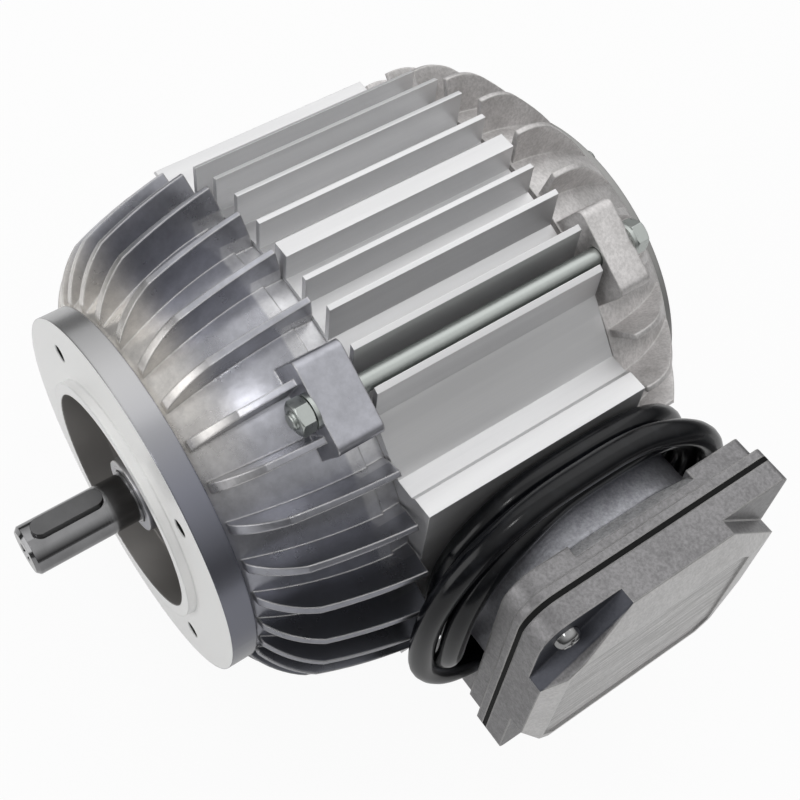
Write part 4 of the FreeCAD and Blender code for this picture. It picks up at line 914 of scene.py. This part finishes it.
class DOORMOTOR_OT_make_lid_screws(bpy.types.Operator):
    """Make the two cross-recess screws of the lid"""

    bl_idname = "door_motor.make_lid_screws"
    bl_label = "Make Lid Screws"

    def execute(self, context):
        sizes = settings().fastener
        low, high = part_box("lid_screws")
        seat = high[0] - sizes.lid_rise
        shape = pan_head_screw(sizes.lid_head, sizes.lid_rise, LID_SHANK, seat - low[0])
        near = (seat, low[1] + sizes.lid_head, high[2] - sizes.lid_head)
        far = (seat, high[1] - sizes.lid_head, low[2] + sizes.lid_head)
        make_piece("cross_recess_lid_screws", copies(shape, AXIS_X, (near, far)),
                   [plated("bright_plate", settings().metal.bright, 0.14)], "lid_screws")
        return {"FINISHED"}


class DOORMOTOR_OT_make_cover_screws(bpy.types.Operator):
    """Make the three cross-recess screws of the rear cover"""

    bl_idname = "door_motor.make_cover_screws"
    bl_label = "Make Cover Screws"

    def execute(self, context):
        sizes = settings().fastener
        low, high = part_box("rear_cover_screws")
        seat = high[1] - sizes.cover_rise
        shape = pan_head_screw(sizes.cover_head, sizes.cover_rise, COVER_SHANK, seat - low[1])
        places = round_the_shaft(sizes.cover_circle, COVER_SCREW_ANGLES, seat)
        make_piece("cross_recess_cover_screws", copies(shape, AXIS_Y, places),
                   [plated("cover_screw_zinc", settings().metal.zinc, 0.26)],
                   "rear_cover_screws")
        return {"FINISHED"}


class DOORMOTOR_OT_make_gland_nut(bpy.types.Operator):
    """Make the domed nut of the cable gland"""

    bl_idname = "door_motor.make_gland_nut"
    bl_label = "Make Gland Nut"

    def execute(self, context):
        low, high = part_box("cable_gland_nut")
        middle = (np.array(low) + np.array(high)) / 2
        shape = domed_nut(settings().fastener.gland_flats, high[1] - low[1],
                          settings().cable.diameter / 2)
        place = (middle[0], low[1], middle[2])
        make_piece("domed_gland_nut", copies(shape, AXIS_Y, [place]),
                   [moulded("gland_nut_plastic", (0.014, 0.014, 0.015), 0.40)],
                   "cable_gland_nut")
        return {"FINISHED"}


# A core: share of its length in the sleeve, then the sleeve's and the wire's rings as shares
CORE_COVERED = 0.65
SLEEVE_RADII = np.array((0.96, 1, 1, 0.9))
SLEEVE_PLACES = np.array((0, 0.02, 0.98, 1))
WIRE_RADII = np.array((0.62, 0.62, 0.4))
WIRE_START = 0.9
WIRE_TAPER = 0.98


class DOORMOTOR_OT_make_cores(bpy.types.Operator):
    """Make the cable's four cores with their bared ends"""

    bl_idname = "door_motor.make_cores"
    bl_label = "Make Cable Cores"

    def execute(self, context):
        low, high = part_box("cable_cores")
        cable = settings().cable
        whole = high[1] - low[1]
        covered = CORE_COVERED * whole
        ring = cable.core_radius * np.ones(AROUND)
        sleeve = SLEEVE_RADII[:, None] * ring
        sleeve_along = SLEEVE_PLACES[:, None] * covered
        wire = WIRE_RADII[:, None] * ring
        wire_along = np.array((WIRE_START * covered, WIRE_TAPER * whole, whole))[:, None]
        inner_low = np.array(low) + cable.core_radius
        inner_high = np.array(high) - cable.core_radius
        bodies = []
        for number in range(4):
            place = (inner_low[0] if number % 2 else inner_high[0], low[1],
                     inner_low[2] if number // 2 else inner_high[2])
            bodies.append((lathe(sleeve, sleeve_along, AXIS_Y, place), number))
            bodies.append((lathe(wire, wire_along, AXIS_Y, place), 4))
        finishes = [
            moulded("brown_insulation", (0.10, 0.036, 0.014), 0.4),
            moulded("black_insulation", (0.010, 0.010, 0.010), 0.4),
            moulded("grey_insulation", (0.24, 0.24, 0.25), 0.4),
            earth_insulation(),
            ground_steel("tinned_wire", (0.66, 0.62, 0.56), 0.32),
        ]
        make_piece("bared_cores", bodies, finishes, "cable_cores")
        return {"FINISHED"}


# Lead from the gland to the first turn, in millimetres
LEAD_ROUTE = (
    (83.0, 90.0, -53.0),
    (83.0, 106.9, -53.0),
    (83.0, 121.5, -44.5),
    (83.0, 130.0, -29.9),
)
CORNER_POINTS = 6
# Where the three turns lie, in millimetres, at angles of one eighth of a turn and in the lower
# front corner: their distance from the shaft, and how far they ride out on the turns below
TURN_ANGLES = np.radians((0, 45, 90, 135, 180, 202, 225, 247, 270, 315, 360))
TURN_REACH = (
    (83.0, 81.0, 76.4, 76.6, 76.8, 77.0, 78.5, 77.8, 77.5, 76.8, 76.0),
    (76.0, 76.0, 76.0, 79.0, 81.5, 77.0, 72.5, 70.7, 70.5, 69.4, 69.0),
    (69.0,) * len(TURN_ANGLES),
)
TURN_RISE = (
    (0.0, 5.0, 7.2, 9.0, 10.3, 10.9, 9.2, 5.0, 1.0, 0.0, 0.0),
    (0.0, 0.0, 0.0, 2.3, 4.5, 4.0, 5.8, 6.8, 7.0, 3.0, 0.0),
    (0.0,) * len(TURN_ANGLES),
)


def wound_turns(cable):
    """Control points of the turns round the box's neck. Each turn is a rectangle with round
    corners; it lies at its own reach from the shaft and rides out over the turns it crosses."""
    corners = np.arange(4 * len(TURN_REACH) - 1)
    start = (corners % 4) * QUARTER_TURN
    angle = start[:, None] + np.linspace(0, QUARTER_TURN, CORNER_POINTS)
    middle = start + QUARTER_TURN / 2
    centre_along = cable.centre + np.sign(np.cos(middle)) * (cable.half_along - cable.corner)
    centre_up = np.sign(np.sin(middle)) * (cable.half_up - cable.corner)
    reach, rise = (
        np.stack([np.interp(angle, TURN_ANGLES, row) for row in table])[corners // 4, corners] * MM
        for table in (TURN_REACH, TURN_RISE))
    along = centre_along[:, None] + (cable.corner + rise) * np.cos(angle)
    up = centre_up[:, None] + (cable.corner + rise) * np.sin(angle)
    return np.stack([reach, along, up], axis=-1).reshape(-1, 3)


class DOORMOTOR_OT_lay_cable(bpy.types.Operator):
    """Lay the cable from its gland and wind it round the terminal box's neck"""

    bl_idname = "door_motor.lay_cable"
    bl_label = "Lay Cable"

    def execute(self, context):
        cable = settings().cable
        lead = np.array(LEAD_ROUTE) * MM
        turns = wound_turns(cable)
        end = np.array([(turns[-1, 0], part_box("cable_cores")[0][1], turns[-1, 2])])
        points = np.concatenate([lead, turns, end])
        curve = bpy.data.curves.new("motor_cable", "CURVE")
        curve.dimensions = "3D"
        curve.resolution_u = 8
        curve.bevel_depth = cable.diameter / 2
        curve.bevel_resolution = 6
        curve.use_fill_caps = True
        spline = curve.splines.new("NURBS")
        spline.points.add(len(points) - 1)
        spline.points.foreach_set("co", np.c_[points, np.ones(len(points))].ravel())
        spline.order_u = 3
        spline.use_endpoint_u = True
        curve.materials.append(cable_sheath())
        piece = add_object("motor_cable", curve)
        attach(piece, "stator")
        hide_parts("cable_lead", "cable_coil")
        return {"FINISHED"}


def area_lamp(name, place, target, size, power):
    """A square soft lamp that points at a target."""
    lamp = bpy.data.lights.new(name, "AREA")
    lamp.size = size
    lamp.energy = power
    aim = (target - place).to_track_quat("-Z", "Y")
    turn = aim.to_matrix().to_4x4()
    add_object(name, lamp).matrix_world = Matrix.Translation(place) @ turn


def pale_floor(studio):
    """The floor's material: pale and matt. The camera and bright metal see it nearly white."""
    finish = Finish("pale_floor")
    finish.surface(base_color=studio.floor_tone, roughness=0.9)
    share = finish.white_share(studio.floor_seen, studio.floor_mirrored)
    white = finish.node("ShaderNodeEmission", {"Color": (1, 1, 1), "Strength": 1.0})
    matt = Value(finish, finish.shader.outputs[0])
    both = finish.node("ShaderNodeMixShader", {0: share, 1: matt, 2: white})
    finish.feed(finish.tree.nodes["Material Output"].inputs["Surface"], both)
    return finish.material


def soft_room(studio):
    """The world: a room that grows from its dark side to its bright side and from its horizon up.
    The camera sees it white."""
    world = bpy.data.worlds.new("soft_room")
    world.use_nodes = True
    room = Nodes(world.node_tree)
    way = room.node("ShaderNodeTexCoord", out="Generated")
    towards = room.dot(way, Vector(studio.room_bright).normalized())
    rise = room.split(way)[2].math("ABSOLUTE") / studio.room_band
    level = (towards + 1).onto(studio.room_low, (studio.room_low + studio.room_high) / 2)
    level = level * rise.math("MINIMUM", 1).onto(studio.room_horizon, 1)
    share = room.white_share(1, studio.room_mirrored)
    background = room.tree.nodes["Background"]
    room.feed(background.inputs["Color"], studio.room_tone)
    room.feed(background.inputs["Strength"], share + (1 - share) * level)
    return world


class DOORMOTOR_OT_set_stage(bpy.types.Operator):
    """Set up the floor, the lamps and the camera"""

    bl_idname = "door_motor.set_stage"
    bl_label = "Set Stage"

    def execute(self, context):
        scene = context.scene
        studio = settings().studio
        self.lay_floor(studio)
        self.light(scene, studio)
        self.aim_camera(scene, studio)
        scene.view_settings.view_transform = "Standard"
        return {"FINISHED"}

    @staticmethod
    def lay_floor(studio):
        """Lay a square floor under the motor."""
        height = CAD_BOX[0].z
        corners = np.array([(-1, -1), (1, -1), (1, 1), (-1, 1)]) * studio.floor_reach
        mesh = bpy.data.meshes.new("floor")
        mesh.from_pydata([(*corner, height) for corner in corners.tolist()], [], [(0, 1, 2, 3)])
        mesh.materials.append(pale_floor(studio))
        floor = add_object("floor", mesh)

    @staticmethod
    def light(scene, studio):
        """Aim three lamps at the motor's middle and put the room round it."""
        middle = (CAD_BOX[0] + CAD_BOX[1]) / 2
        lamps = (
            ("top_lamp", studio.top_place, studio.top_size, studio.top_power),
            ("key_lamp", studio.key_place, studio.key_size, studio.key_power),
            ("front_lamp", studio.front_place, studio.front_size, studio.front_power),
        )
        for name, place, size, power in lamps:
            area_lamp(name, middle + Vector(place), middle, size, power)
        scene.world = soft_room(studio)

    @staticmethod
    def aim_camera(scene, studio):
        """Stand the camera in its place and make it the scene's own."""
        data = bpy.data.cameras.new("camera")
        data.sensor_width = 36
        data.lens = studio.camera_lens
        data.clip_start = 0.01
        data.clip_end = 50
        camera = add_object("camera", data)
        back = -Vector(studio.camera_forward).normalized()
        right = Vector(studio.camera_up).cross(back).normalized()
        up = back.cross(right)
        turn = Matrix((right, up, back)).transposed()
        camera.matrix_world = Matrix.Translation(studio.camera_place) @ turn.to_4x4()
        scene.camera = camera


OPERATORS = (
    DOORMOTOR_OT_dress_shields,
    DOORMOTOR_OT_dress_housing,
    DOORMOTOR_OT_dress_box,
    DOORMOTOR_OT_dress_fasteners,
    DOORMOTOR_OT_dress_shaft,
    DOORMOTOR_OT_make_rods,
    DOORMOTOR_OT_make_nuts,
    DOORMOTOR_OT_make_lid_screws,
    DOORMOTOR_OT_make_cover_screws,
    DOORMOTOR_OT_make_gland_nut,
    DOORMOTOR_OT_make_cores,
    DOORMOTOR_OT_lay_cable,
    DOORMOTOR_OT_set_stage,
)


class DOORMOTOR_PT_panel(bpy.types.Panel):
    """Buttons for each group of the motor's pieces"""

    bl_idname = "DOORMOTOR_PT_panel"
    bl_label = "Door Motor"
    bl_space_type = "VIEW_3D"
    bl_region_type = "UI"
    bl_category = "Door Motor"

    def draw(self, context):
        for operator in OPERATORS:
            self.layout.operator(operator.bl_idname)


GROUPS = (StudioSettings, MetalSettings, FastenerSettings, CableSettings, DoorMotorSettings)
CLASSES = GROUPS + OPERATORS + (DOORMOTOR_PT_panel,)


def register():
    """Make the settings, operators and panel known to Blender."""
    for each in CLASSES:
        bpy.utils.register_class(each)
    bpy.types.Scene.door_motor = PointerProperty(type=DoorMotorSettings)


def unregister():
    """Take the settings, operators and panel out again."""
    del bpy.types.Scene.door_motor
    for each in reversed(CLASSES):
        bpy.utils.unregister_class(each)


def main():
    """Dress the motor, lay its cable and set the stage."""
    register()
    bpy.ops.door_motor.dress_shields()
    bpy.ops.door_motor.dress_housing()
    bpy.ops.door_motor.dress_box()
    bpy.ops.door_motor.dress_fasteners()
    bpy.ops.door_motor.dress_shaft()
    bpy.ops.door_motor.make_rods()
    bpy.ops.door_motor.make_nuts()
    bpy.ops.door_motor.make_lid_screws()
    bpy.ops.door_motor.make_cover_screws()
    bpy.ops.door_motor.make_gland_nut()
    bpy.ops.door_motor.make_cores()
    bpy.ops.door_motor.lay_cable()
    bpy.ops.door_motor.set_stage()


if __name__ == "__main__":
    main()
